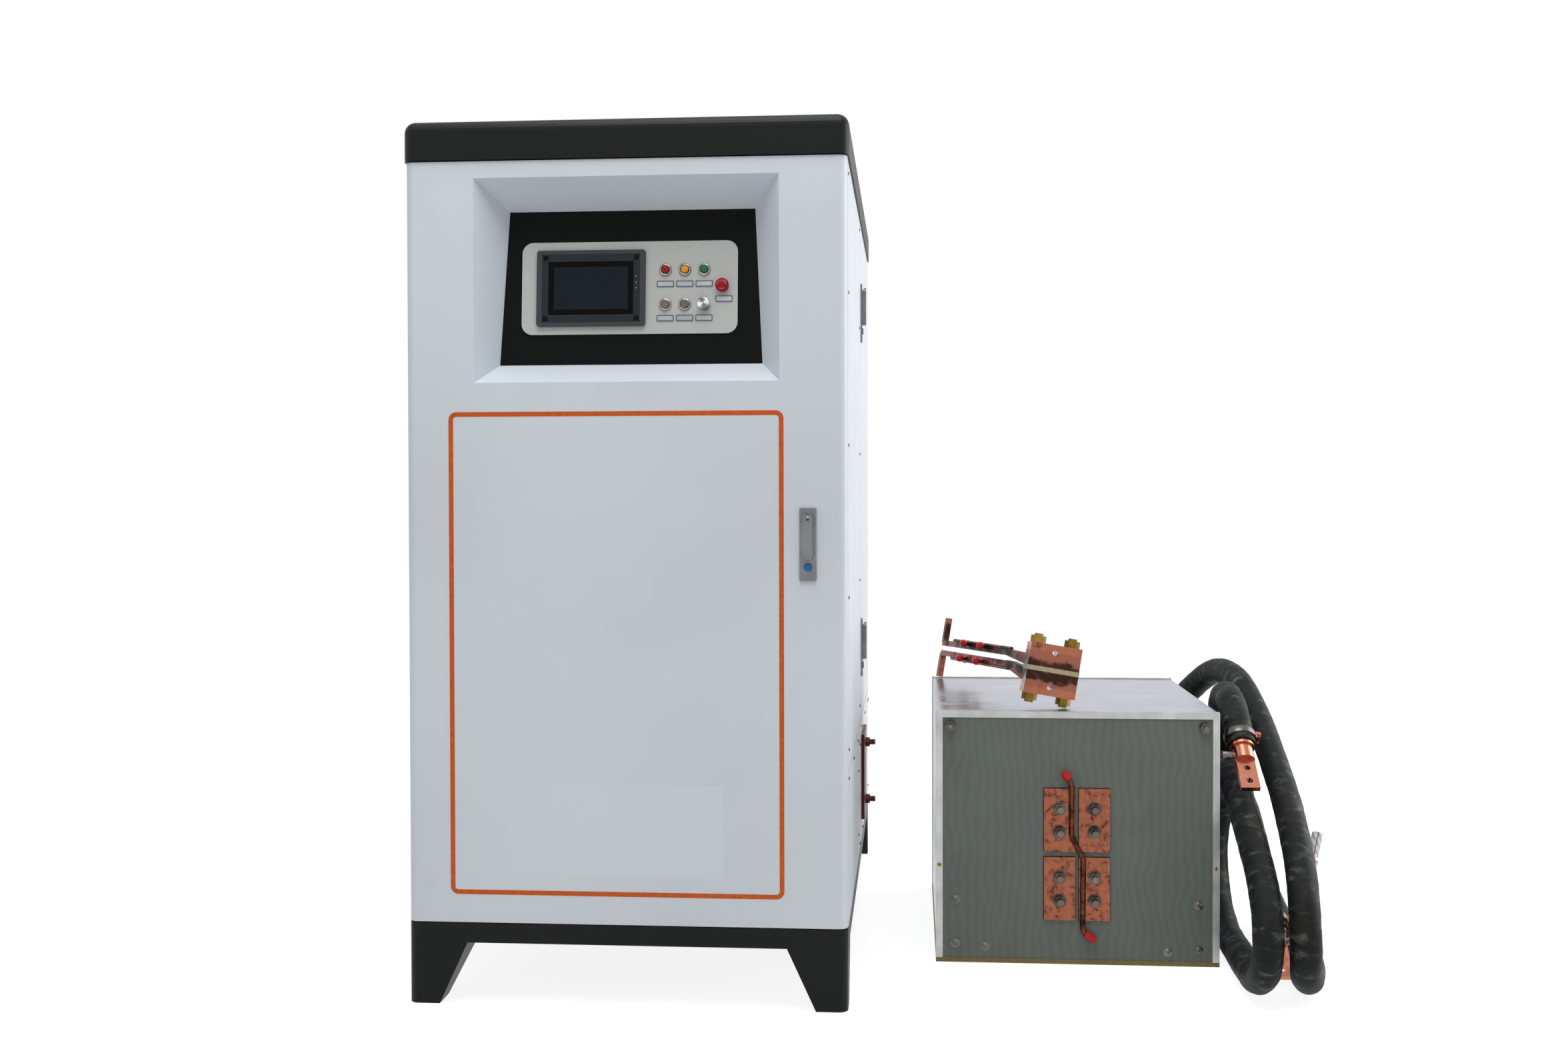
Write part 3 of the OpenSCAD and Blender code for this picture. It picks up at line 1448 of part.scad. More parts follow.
// Copper lug along z from a cable's end, its tongue flat across x
module lug(tongue) {
    color(copper) difference() {
        union() {
            cylinder(h = lug_collar_h, d = lug_collar_d);
            cylinder(h = lug_collar_h + lug_barrel_h, d = lug_d);
            translate([0, 0, lug_barrel_h]) block(lug_t, lug_w, lug_collar_h + tongue);
        }
        for (share = lug_hole_share) translate([-lug_t, 0, lug_barrel_h + lug_collar_h + tongue * share])
            rotate([0, 90, 0]) cylinder(h = 2 * lug_t, d = lug_hole_d);
    }
}

module cable_clip() {
    color(steel) translate([0, 0, -clip_back]) {
        difference() {
            cylinder(h = clip_w, d = cable_d + 2 * clearance + 2 * clip_t);
            translate([0, 0, -over]) cylinder(h = clip_w + 2 * over, d = cable_d + 2 * clearance);
        }
        translate([-cable_d / 4, cable_d / 2 + clip_t + clip_screw_out, clip_w / 2]) rotate([0, 90, 0])
            cylinder(h = cable_d / 2, d = clip_screw_d);
        for (s = [-1, 1]) translate([s * cable_d / 6, cable_d / 2 + clip_ear_out, 0])
            block(clip_ear_t, clip_ear_h, clip_w);
    }
}

module at_end(p) {
    last = len(p) - 1;
    v = unit(p[last] - p[last - 1]);
    translate(p[last]) rotate([0, acos(v[2]), atan2(v[1], v[0])]) children();
}

module cable_ends() {
    barrel_mid = lug_collar_h + lug_barrel_h / 2;
    for (p = [cable_a_route, cable_b_route]) {
        at_end(p) {
            lug(lug_tongue_len);
            cable_clip();
        }
        translate(p[0]) rotate([180, 0, 90]) lug(lug_tongue_len);
    }
    color(steel) {
        at_end(cable_a_route) translate([0, 0, barrel_mid]) rotate([90, 0, 0])
            cylinder(h = lug_d / 2 + nipple_len, d = hose_nipple_d);
        at_end(cable_b_route) translate([0, 0, barrel_mid]) rotate([-90, 0, 0])
            cylinder(h = lug_d / 2 + nipple_len, d = hose_nipple_d);
    }
}

module pvc_hose() {
    color("#cfd6de") swept(hose_route, water_hose_d, hose_sides);
}

plinth();
frame();
top_cap();
front_door();
right_rear_door();
right_front_panel();
right_lower_panel();
left_panel();
rear_panel();
hinge_pins();
console_panel();
console_plate();
hmi_bezel();
hmi_screen();
control_fittings();
stop_button();
start_button();
power_knob();
estop_stem();
estop_head();
front_lock_plate();
front_lock_spindle();
front_lock_handle();
front_lock_button();
side_lock_plates();
upper_lock_spindle();
upper_lock_handle();
upper_lock_button();
lower_lock_spindle();
lower_lock_handle();
lower_lock_button();
main_contactor();
dc_capacitors();
power_modules();
control_rack();
busbars();
water_manifold();
terminal_board();
station_base();
station_front_board();
station_rear_board();
station_cover();
station_trim();
station_fasteners();
output_blocks();
jumper_tube();
transformer_core();
primary_winding();
tank_capacitors();
rear_terminals();
inductor_upper();
inductor_lower();
clamp_plates();
insulating_sheet();
brass_bolts();
inductor_caps();
cable_a();
cable_b();
cable_ends();
pvc_hose();
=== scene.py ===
import math
import bpy
import bmesh
from mathutils import Matrix, Vector, noise


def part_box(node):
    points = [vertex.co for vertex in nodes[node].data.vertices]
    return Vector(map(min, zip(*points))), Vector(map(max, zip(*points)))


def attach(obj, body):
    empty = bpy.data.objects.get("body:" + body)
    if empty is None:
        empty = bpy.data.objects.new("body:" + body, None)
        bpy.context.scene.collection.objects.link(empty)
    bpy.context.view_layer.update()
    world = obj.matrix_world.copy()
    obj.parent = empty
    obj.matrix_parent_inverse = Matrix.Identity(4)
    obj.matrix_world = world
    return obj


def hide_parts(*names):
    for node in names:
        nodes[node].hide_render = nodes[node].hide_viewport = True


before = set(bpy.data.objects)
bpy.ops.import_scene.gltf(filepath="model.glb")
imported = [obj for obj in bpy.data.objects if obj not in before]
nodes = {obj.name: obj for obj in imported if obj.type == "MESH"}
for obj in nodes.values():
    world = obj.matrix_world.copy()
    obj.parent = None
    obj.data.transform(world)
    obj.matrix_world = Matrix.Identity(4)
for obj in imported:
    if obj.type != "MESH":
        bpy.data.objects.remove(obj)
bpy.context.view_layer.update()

millimetre = 0.001
print("frame loaded:", len(nodes), "nodes")


def putInScene(name, data):
    thing = bpy.data.objects.new(name, data)
    bpy.context.scene.collection.objects.link(thing)
    return thing


# solved from the edges of the cabinet in the photograph
cameraSettings = {
    "place": (0.1776, -3.9530, 1.0355),
    "yaw": -0.0793,
    "pitch": -0.0161,
    "roll": -0.0020,
    "focalPixels": 2408.18,
    "imageWidth": 2352,
    "sensorWidth": 36,
}


def placeCamera(settings):
    yaw, pitch, roll = settings["yaw"], settings["pitch"], settings["roll"]
    level = math.cos(pitch)
    forward = Vector((math.sin(yaw) * level, math.cos(yaw) * level, math.sin(pitch)))
    right = Vector((math.cos(yaw), -math.sin(yaw), 0))
    up = right.cross(forward)
    turnedRight = right * math.cos(roll) + up * math.sin(roll)
    turnedUp = turnedRight.cross(forward)
    lensData = bpy.data.cameras.new("camera")
    lensData.sensor_width = settings["sensorWidth"]
    lensData.lens = settings["focalPixels"] / settings["imageWidth"] * settings["sensorWidth"]
    camera = putInScene("camera", lensData)
    turn = Matrix((turnedRight, turnedUp, -forward)).transposed()
    camera.matrix_world = Matrix.Translation(settings["place"]) @ turn.to_4x4()
    bpy.context.scene.camera = camera


placeCamera(cameraSettings)


def toLinear(code):
    parts = [int(code[i:i + 2], 16) / 255 for i in (1, 3, 5)]
    linear = [c / 12.92 if c <= 0.04045 else ((c + 0.055) / 1.055) ** 2.4 for c in parts]
    return tuple(linear) + (1.0,)


def hexScaled(code, factor):
    parts = [round(int(code[i:i + 2], 16) * factor) for i in (1, 3, 5)]
    return "#" + "".join("%02x" % max(0, min(255, part)) for part in parts)


def addNode(tree, kind, numbered=None, stops=None, feeds=None, output=0, **others):
    # others that begin with a capital are sockets, the rest are the node's own settings;
    # a node given to a socket stands for its first output, and feeds names a shader's socket
    node = tree.nodes.new("ShaderNode" + kind)
    sockets = dict(numbered or {})
    for name, value in others.items():
        if name[0].isupper():
            sockets[name.replace("_", " ")] = value
        else:
            setattr(node, name, value)
    for place, (position, code) in enumerate(stops or []):
        elements = node.color_ramp.elements
        element = elements[place] if place < 2 else elements.new(position)
        element.position = position
        element.color = toLinear(code)
    for socket, value in sockets.items():
        if isinstance(value, bpy.types.Node):
            value = value.outputs[0]
        if isinstance(value, bpy.types.NodeSocket):
            tree.links.new(value, node.inputs[socket])
        else:
            node.inputs[socket].default_value = value
    if feeds:
        tree.links.new(node.outputs[output], tree.nodes["Principled BSDF"].inputs[feeds])
    return node


def newMaterial(name, colour, roughness, metallic=0.0, **others):
    material = bpy.data.materials.new(name)
    material.use_nodes = True
    shader = material.node_tree.nodes["Principled BSDF"]
    shader.inputs["Base Color"].default_value = toLinear(colour)
    shader.inputs["Roughness"].default_value = roughness
    shader.inputs["Metallic"].default_value = metallic
    for socket, value in others.items():
        shader.inputs[socket.replace("_", " ")].default_value = value
    return material, material.node_tree


def objectMaterial(*looks, **others):
    material, tree = newMaterial(*looks, **others)
    return material, tree, addNode(tree, "TexCoord").outputs["Object"]


def scalePerMetre(millimetres):
    return 1000 / millimetres


def relief(tree, place, size, detail, strength, depth):
    # noise of the size in millimetres that stands out by about the depth in metres
    skin = addNode(tree, "TexNoise", Vector=place, Scale=scalePerMetre(size), Detail=detail)
    addNode(tree, "Bump", Height=skin, Strength=strength, Distance=depth, feeds="Normal")
    return skin


def meshObject(bm, name):
    mesh = bpy.data.meshes.new(name)
    bm.to_mesh(mesh)
    bm.free()
    return putInScene(name, mesh)


sharpAngle = math.radians(35)


def toMesh(bm, name, material, body, smooth=True):
    bmesh.ops.recalc_face_normals(bm, faces=bm.faces)
    piece = meshObject(bm, name)
    piece.data.materials.append(material)
    if smooth:
        piece.data.shade_smooth()
        piece.data.set_sharp_from_angle(angle=sharpAngle)
    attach(piece, body)
    return piece


def onlyVerts(geometry):
    return [item for item in geometry if isinstance(item, bmesh.types.BMVert)]


def rotated(degrees, axis):
    return Matrix.Rotation(math.radians(degrees), 4, axis)


def facingTurn(direction):
    return Vector(direction).to_track_quat("Z", "Y").to_matrix().to_4x4()


def roundedSheet(width, height, radius, thickness, rim=0.0):
    # flat sheet on z = 0 with round corners, or a frame of the width rim
    bm = bmesh.new()
    bmesh.ops.create_grid(bm, x_segments=1, y_segments=1, size=0.5)
    bmesh.ops.scale(bm, vec=(width, height, 1), verts=bm.verts)
    bmesh.ops.bevel(bm, geom=bm.verts, offset=radius, segments=8, profile=0.5,
                    affect="VERTICES", material=-1)
    if rim:
        frameFaces = bmesh.ops.inset_individual(bm, faces=bm.faces[:], thickness=rim)["faces"]
        inner = [face for face in bm.faces if face not in frameFaces]
        bmesh.ops.delete(bm, geom=inner, context="FACES")
    raised = bmesh.ops.extrude_face_region(bm, geom=bm.faces[:])["geom"]
    bmesh.ops.translate(bm, vec=(0, 0, thickness), verts=onlyVerts(raised))
    return bm


def spun(profile, steps):
    # solid of revolution about z from a profile of (radius, height) points
    bm = bmesh.new()
    points = [bm.verts.new((radius, 0, height)) for radius, height in profile]
    for a, b in zip(points, points[1:]):
        bm.edges.new((a, b))
    bmesh.ops.spin(bm, geom=bm.verts[:] + bm.edges[:], axis=(0, 0, 1), cent=(0, 0, 0),
                   angle=2 * math.pi, steps=steps, use_merge=True)
    bmesh.ops.remove_doubles(bm, verts=bm.verts, dist=1e-6)
    return bm


def assemble(name, parts, look, body, smooth=True):
    # one piece from parts drawn in millimetres, each with its place
    whole = bmesh.new()
    for bm, place in parts:
        bmesh.ops.scale(bm, vec=(millimetre,) * 3, verts=bm.verts)
        bm.transform(place)
        mesh = bpy.data.meshes.new("part")
        bm.to_mesh(mesh)
        whole.from_mesh(mesh)
        bpy.data.meshes.remove(mesh)
        bm.free()
    toMesh(whole, name, finish[look], body, smooth)


def smoothPath(points, steps):
    # Catmull-Rom curve through the route's own points
    places = [Vector(p) for p in points]
    places = [places[0] * 2 - places[1]] + places + [places[-1] * 2 - places[-2]]
    path = []
    for a, b, c, d in zip(places, places[1:], places[2:], places[3:]):
        for step in range(steps):
            t = step / steps
            path.append(0.5 * (2 * b + (c - a) * t + (2 * a - 5 * b + 4 * c - d) * t ** 2
                               + (3 * b - a - 3 * c + d) * t ** 3))
    return path + [places[-2]]


def pathLength(path):
    return sum((b - a).length for a, b in zip(path, path[1:]))


def sweepTube(path, sides, radiusAt):
    # grid bent round the path, so that its own map runs round and along the tube
    count = len(path) - 1
    bm = bmesh.new()
    bm.loops.layers.uv.verify()
    bmesh.ops.create_grid(bm, x_segments=sides, y_segments=count, size=0.5, calc_uvs=True)
    tangents = [(path[min(i + 1, count)] - path[max(i - 1, 0)]).normalized()
                for i in range(count + 1)]
    side = tangents[0].orthogonal().normalized()
    frames = []
    distance = 0
    for i, tangent in enumerate(tangents):
        side = (side - tangent * side.dot(tangent)).normalized()
        frames.append((side, tangent.cross(side), distance))
        distance += (path[min(i + 1, count)] - path[i]).length
    for vert in bm.verts:
        around, along = round((vert.co.x + 0.5) * sides), round((vert.co.y + 0.5) * count)
        angle = 2 * math.pi * around / sides
        a, b, distance = frames[along]
        outward = a * math.cos(angle) + b * math.sin(angle)
        vert.co = path[along] + radiusAt(distance, angle) * outward
    bmesh.ops.remove_doubles(bm, verts=bm.verts, dist=1e-6)
    bmesh.ops.holes_fill(bm, edges=[e for e in bm.edges if e.is_boundary])
    return bm


# cables and hose: sizes in metres, routes in millimetres as in the part's source
cableSettings = {
    "diameter": 0.064,
    "sides": 40,
    "stepsPerPoint": 12,
    "inset": 0.0008,
    "wrapPitch": 0.034,
    "wrapStep": 0.0009,
    "wrapShare": 0.6,
    "wrinkle": 0.0011,
    "wrinklesRound": 1.6,
    "wrinklesPerMetre": 28,
    "noiseStarts": {"cableWrapA": 0.0, "cableWrapB": 40.0},
}
hoseSettings = {
    "diameter": 0.024,
    "sides": 24,
    "stepsPerPoint": 16,
    "tracerPlace": 0.022,
    "tracerHalfWidth": 0.0012,
}

cableRouteA = [
    (812, 372, 220), (812, 372, 290), (834, 372, 390), (884, 352, 490), (932, 286, 562),
    (958, 190, 592), (976, 60, 580), (988, -70, 526), (994, -200, 458), (993, -350, 386),
    (984, -480, 330), (974, -590, 270), (965, -662, 206), (963, -686, 136), (972, -650, 70),
    (996, -572, 36), (1022, -470, 33), (1034, -360, 33), (1038, -230, 33), (1034, -90, 50),
    (1020, 20, 120), (1000, 64, 220), (980, 62, 330), (968, 50, 390), (948, 18, 451),
    (917, -50, 526), (906, -140, 570), (903, -220, 568), (902, -290, 536), (903, -350, 484)]
cableRouteB = [
    (700, 372, 220), (700, 372, 290), (724, 420, 345), (790, 462, 368), (868, 446, 358),
    (908, 370, 350), (906, 250, 372), (902, 100, 384), (901, 20, 388), (900, -60, 400),
    (899, -180, 408), (898, -290, 388), (897, -390, 348), (897, -490, 302), (895, -590, 250),
    (891, -664, 196), (888, -692, 136), (887, -664, 74), (887, -596, 40), (889, -510, 33),
    (892, -400, 33), (895, -300, 33), (898, -200, 38), (906, -60, 80), (914, 20, 170),
    (924, 20, 262), (934, -60, 330), (942, -170, 322), (950, -270, 240), (955, -350, 150),
    (957, -420, 95)]
hoseRoute = [
    (1005, -440, 79), (1020, -436, 88), (1036, -404, 140), (1056, -345, 220), (1077, -312, 284)]


def wrapRadius(start):
    # tape wound with an overlap, and the folds that it takes in the bends
    s = cableSettings

    def radiusAt(distance, angle):
        turn = (distance / s["wrapPitch"] + angle / (2 * math.pi)) % 1
        overlap = s["wrapStep"] * (0.5 - turn)
        place = Vector((math.cos(angle) * s["wrinklesRound"], math.sin(angle) * s["wrinklesRound"],
                        distance * s["wrinklesPerMetre"] + start))
        return (s["diameter"] / 2 - s["inset"] + overlap * s["wrapShare"]
                + s["wrinkle"] * noise.noise(place))
    return radiusAt


def tubeMap(tree, settings, length):
    return addNode(tree, "Mapping", Vector=addNode(tree, "UVMap"),
                   Scale=(math.pi * settings["diameter"], length, 1))


def wovenWrap(name, length):
    # rubberised cotton tape: dull black, cloth weave, chalky worn scuffs across the turns
    material, tree = newMaterial(name, "#141616", 0.6, Specular_IOR_Level=0.18)
    metres = tubeMap(tree, cableSettings, length)
    scuff = addNode(tree, "Mapping", Vector=metres, Scale=(1.0, 1.9, 1))
    scuffs = addNode(tree, "TexNoise", Vector=scuff, Scale=scalePerMetre(46), Detail=5.0,
                     Roughness=0.62, Distortion=0.5)
    ramp = addNode(tree, "ValToRGB", Fac=scuffs,
                   stops=[(0.0, "#08090a"), (0.47, "#101212"), (0.55, "#1d201f"),
                          (0.64, "#454c47"), (0.78, "#747c76")])
    dirt = addNode(tree, "TexNoise", Vector=metres, Scale=scalePerMetre(170), Detail=3.0)
    brown = addNode(tree, "ValToRGB", Fac=dirt, stops=[(0.42, "#ffffff"), (0.75, "#c9b8a6")])
    addNode(tree, "Mix", {0: 1.0, 6: ramp, 7: brown}, feeds="Base Color", output=2,
            data_type="RGBA", blend_type="MULTIPLY")
    weave = addNode(tree, "TexWave", Vector=metres, Scale=scalePerMetre(14), Distortion=1.5,
                    Detail=2.0, bands_direction="Y")
    grain = addNode(tree, "TexNoise", Vector=metres, Scale=scalePerMetre(3), Detail=2.0)
    heights = addNode(tree, "Math", {0: weave.outputs["Fac"], 1: grain}, operation="ADD")
    addNode(tree, "Bump", Height=heights, Strength=0.35, Distance=0.0012, feeds="Normal")
    return material


def clearHoseFinish(length):
    # clear PVC with a white braid and one red tracer thread
    material, tree = newMaterial("clearBraidedPvc", "#dfe5ea", 0.22, Transmission_Weight=0.25,
                                 IOR=1.5)
    metres = tubeMap(tree, hoseSettings, length)
    parts = addNode(tree, "SeparateXYZ", Vector=metres)
    braid = addNode(tree, "TexWave", Vector=metres, Scale=scalePerMetre(26),
                    bands_direction="DIAGONAL")
    offset = addNode(tree, "Math", {0: parts.outputs["X"], 1: hoseSettings["tracerPlace"]},
                     operation="SUBTRACT")
    apart = addNode(tree, "Math", {0: offset}, operation="ABSOLUTE")
    tracer = addNode(tree, "Math", {0: apart, 1: hoseSettings["tracerHalfWidth"]},
                     operation="LESS_THAN")
    threads = addNode(tree, "ValToRGB", Fac=braid.outputs["Fac"],
                      stops=[(0.3, "#b9c2cb"), (0.7, "#eef1f4")])
    addNode(tree, "Mix", {0: tracer, 6: threads, 7: toLinear("#a8332c")}, feeds="Base Color",
            output=2, data_type="RGBA")
    return material


def inMetres(point):
    return tuple(value / 1000 for value in point)


def layCord(name, node, route, settings, radiusAt, makeFinish, slot, **facts):
    path = smoothPath([inMetres(point) for point in route], settings["stepsPerPoint"])
    length = pathLength(path)
    bm = sweepTube(path, settings["sides"], radiusAt)
    piece = toMesh(bm, name, makeFinish(length), "machine")
    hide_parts(node)
    print(name, "length", round(length, 3))
    return path


for name, node, route in (("cableWrapA", "cable_a", cableRouteA),
                          ("cableWrapB", "cable_b", cableRouteB)):
    layCord(name, node, route, cableSettings, wrapRadius(cableSettings["noiseStarts"][name]),
            lambda length: wovenWrap(name + "Wrap", length), "hose_rubber", far_end="fitting",
            stiffness="stiff", lay="loose", with_pieces=[nodes["cable_ends"]])
hosePath = layCord("clearHose", "pvc_hose", hoseRoute, hoseSettings,
                   lambda distance, angle: hoseSettings["diameter"] / 2, clearHoseFinish,
                   "clear_pvc", far_end="bare", stiffness="medium", lay="hanging")
print("cables laid")

# the control plate's own plane, in millimetres from its middle
consoleSettings = {
    "lean": math.radians(4.5),
    "origin": (-0.397, -0.690, 1.307),
    "plateShift": (-3.5, 159.0),
    "plateThickness": 3.0,
}
controlPlaces = {
    "lampRow": 36,
    "buttonRow": -36,
    "lamps": {"fault": 75, "standby": 115, "running": 155},
    "buttons": {"stop_button": 75, "start_button": 115},
    "knob": (155, -36),
    "emergencyStop": (193, 1),
}


def onPlate(u, v, out=0.0):
    # place on the plate's front face, u to the right, v up it and out away from it
    s = consoleSettings
    rise, run = math.sin(s["lean"]), math.cos(s["lean"])
    right, up, outward = Vector((1, 0, 0)), Vector((0, rise, run)), Vector((0, -run, rise))
    shiftU, shiftV = s["plateShift"]
    place = (Vector(s["origin"]) + right * (u + shiftU) * millimetre
             + up * (v + shiftV) * millimetre + outward * (s["plateThickness"] + out) * millimetre)
    return Matrix.Translation(place) @ Matrix((right, up, outward)).transposed().to_4x4()


def powderCoat(name, colour, roughness, peel, cloud, specular=0.3):
    # polyester powder, baked: even satin with fine orange peel, drawn coarser than the real 1 mm
    material, tree, place = objectMaterial(name, colour, roughness, Specular_IOR_Level=specular)
    clouds = addNode(tree, "TexNoise", Vector=place, Scale=scalePerMetre(420), Detail=2.0)
    addNode(tree, "ValToRGB", Fac=clouds, feeds="Base Color",
            stops=[(0.35, hexScaled(colour, 1 - cloud)), (0.65, hexScaled(colour, 1 + cloud))])
    relief(tree, place, peel, detail=1.0, strength=0.10, depth=0.0006)
    return material


def mouldedPlastic(name, colour, roughness, grain=1.4, specular=0.2, **others):
    # injection-moulded ABS or nylon: fine spark-eroded grain, soft sheen
    material, tree, place = objectMaterial(name, colour, roughness,
                                           Specular_IOR_Level=specular, **others)
    skin = relief(tree, place, grain, detail=2.0, strength=0.12, depth=0.0003)
    addNode(tree, "ValToRGB", Fac=skin, feeds="Base Color",
            stops=[(0.3, hexScaled(colour, 0.94)), (0.7, hexScaled(colour, 1.05))])
    return material


def brushedMetal(name, colour, roughness, along=(1, 1, 1), stroke=2.0, spread=0.14, dull=0.08):
    # ground or rolled metal: strokes one way, a little tarnish in patches
    material, tree, place = objectMaterial(name, colour, roughness, 1.0)
    stretched = addNode(tree, "Mapping", Vector=place, Scale=along)
    strokes = relief(tree, stretched, stroke, detail=3.0, strength=0.10, depth=0.0002)
    patches = addNode(tree, "TexNoise", Vector=place, Scale=scalePerMetre(55), Detail=3.0)
    addNode(tree, "ValToRGB", Fac=patches, feeds="Base Color",
            stops=[(0.35, hexScaled(colour, 1 - dull)), (0.65, hexScaled(colour, 1 + dull / 2))])
    addNode(tree, "MapRange", Value=strokes, To_Min=roughness - spread / 2,
            To_Max=roughness + spread, feeds="Roughness")
    return material


inductorLean = {"roll": 9.5, "lean": -5.4}


def tarnishedCopper(name, bright, burnt, threshold, patch, roughness=0.36, band=None):
    # bare copper after brazing and handling: rosy where rubbed, brown to black oxide in patches
    material, tree, place = objectMaterial(name, bright, roughness, 1.0)
    large = addNode(tree, "TexNoise", Vector=place, Scale=scalePerMetre(patch), Detail=6.0,
                    Roughness=0.66, Distortion=0.4)
    burn = large
    if band:
        # heat of brazing, darkest near the node named band and gone at the outer faces
        low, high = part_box(band)
        level = addNode(tree, "Mapping", Vector=place, Location=-(low + high) / 2)
        tilted = addNode(tree, "VectorRotate", Vector=level, Axis=(0, 1, 0),
                         Angle=math.radians(-inductorLean["roll"]), rotation_type="AXIS_ANGLE")
        height = addNode(tree, "SeparateXYZ", Vector=tilted)
        away = addNode(tree, "Math", {0: height.outputs["Z"]}, operation="ABSOLUTE")
        near = addNode(tree, "MapRange", Value=away, From_Min=0.016, From_Max=0.030, To_Min=0.16,
                       To_Max=-0.08)
        burn = addNode(tree, "Math", {0: burn, 1: near}, operation="ADD")
    addNode(tree, "ValToRGB", Fac=burn, feeds="Base Color",
            stops=[(threshold - 0.12, hexScaled(bright, 1.08)), (threshold, bright),
                   (threshold + 0.07, hexScaled(burnt, 1.35)), (threshold + 0.16, burnt)])
    stretched = addNode(tree, "Mapping", Vector=place, Scale=(1, 1, 8))
    relief(tree, stretched, 4, detail=3.0, strength=0.16, depth=0.0003)
    addNode(tree, "MapRange", Value=large, From_Min=threshold - 0.1, From_Max=threshold + 0.15,
            To_Min=roughness - 0.06, To_Max=roughness + 0.28, feeds="Roughness")
    return material


def stainlessCover():
    # rolled stainless sheet: cold blue-grey with lilac cast, smears of handling, slow waviness
    material, tree, place = objectMaterial("rolledStainlessSheet", "#b6bcc6", 0.24, 1.0)
    smear = addNode(tree, "Mapping", Vector=place, Scale=(1.0, 2.4, 1.0))
    blotches = addNode(tree, "TexNoise", Vector=smear, Scale=scalePerMetre(260), Detail=4.0,
                       Roughness=0.5, Distortion=0.8)
    addNode(tree, "ValToRGB", Fac=blotches, feeds="Base Color",
            stops=[(0.30, "#8b8f9e"), (0.47, "#9a9eab"), (0.58, "#a8aebb"), (0.72, "#b9c1cb")])
    addNode(tree, "MapRange", Value=blotches, From_Min=0.3, From_Max=0.7, To_Min=0.16, To_Max=0.36,
            feeds="Roughness")
    relief(tree, place, 160, detail=1.0, strength=0.08, depth=0.003)
    return material


def glassLaminate(name, colour, light):
    # glass-cloth epoxy board: cloth bands that wander like ripples, rubbed pale smears
    material, tree, place = objectMaterial(name, colour, 0.38, Specular_IOR_Level=0.22)
    ripples = addNode(tree, "TexWave", Vector=place, Scale=scalePerMetre(60), Distortion=14.0,
                      Detail=3.0, Detail_Scale=0.35, bands_direction="X")
    smears = addNode(tree, "TexNoise", Vector=place, Scale=scalePerMetre(210), Detail=5.0,
                     Roughness=0.6, Distortion=0.8)
    base = addNode(tree, "ValToRGB", Fac=ripples.outputs["Fac"],
                   stops=[(0.0, hexScaled(colour, 0.975)), (1.0, hexScaled(colour, 1.02))])
    veil = addNode(tree, "ValToRGB", Fac=smears, stops=[(0.45, "#000000"), (0.80, "#8c8c8c")])
    addNode(tree, "Mix", {0: veil, 6: base, 7: toLinear(light)}, feeds="Base Color", output=2,
            data_type="RGBA")
    relief(tree, place, 2.5, detail=1.0, strength=0.08, depth=0.0004)
    return material


def turnedAluminium():
    # faced on a lathe: rings too fine to see; the two bright sectors that they throw back are
    # painted into the base colour as painted highlight
    material, tree, place = objectMaterial("turnedAluminium", "#e2e4e6", 0.30, 1.0,
                                           Anisotropic=0.75)
    middle = onPlate(*controlPlaces["knob"]).translation
    local = addNode(tree, "Mapping", Vector=place, Location=-middle)
    upright = addNode(tree, "VectorRotate", Vector=local, Axis=(1, 0, 0),
                      Angle=math.radians(-90) + consoleSettings["lean"], rotation_type="AXIS_ANGLE")
    around = addNode(tree, "TexGradient", Vector=upright, gradient_type="RADIAL")
    turns = addNode(tree, "Math", {0: around.outputs["Fac"], 1: 4 * math.pi, 2: 0.9},
                    operation="MULTIPLY_ADD")
    wave = addNode(tree, "Math", {0: turns}, operation="SINE")
    # painted highlight: light and dark sectors round the knob's middle, painted into the base
    # colour
    paintedHighlightFan = addNode(tree, "MapRange", Value=wave, From_Min=-1.0, From_Max=1.0)
    addNode(tree, "ValToRGB", Fac=paintedHighlightFan, feeds="Base Color",
            stops=[(0.15, "#77797c"), (0.55, "#a9abad"), (0.92, "#e6e7e8")])
    relief(tree, place, 0.9, detail=1.0, strength=0.12, depth=0.0002)
    return material


def lampLens(name, colour):
    return mouldedPlastic(name, colour, 0.22, grain=3.0, Coat_Weight=0.15)


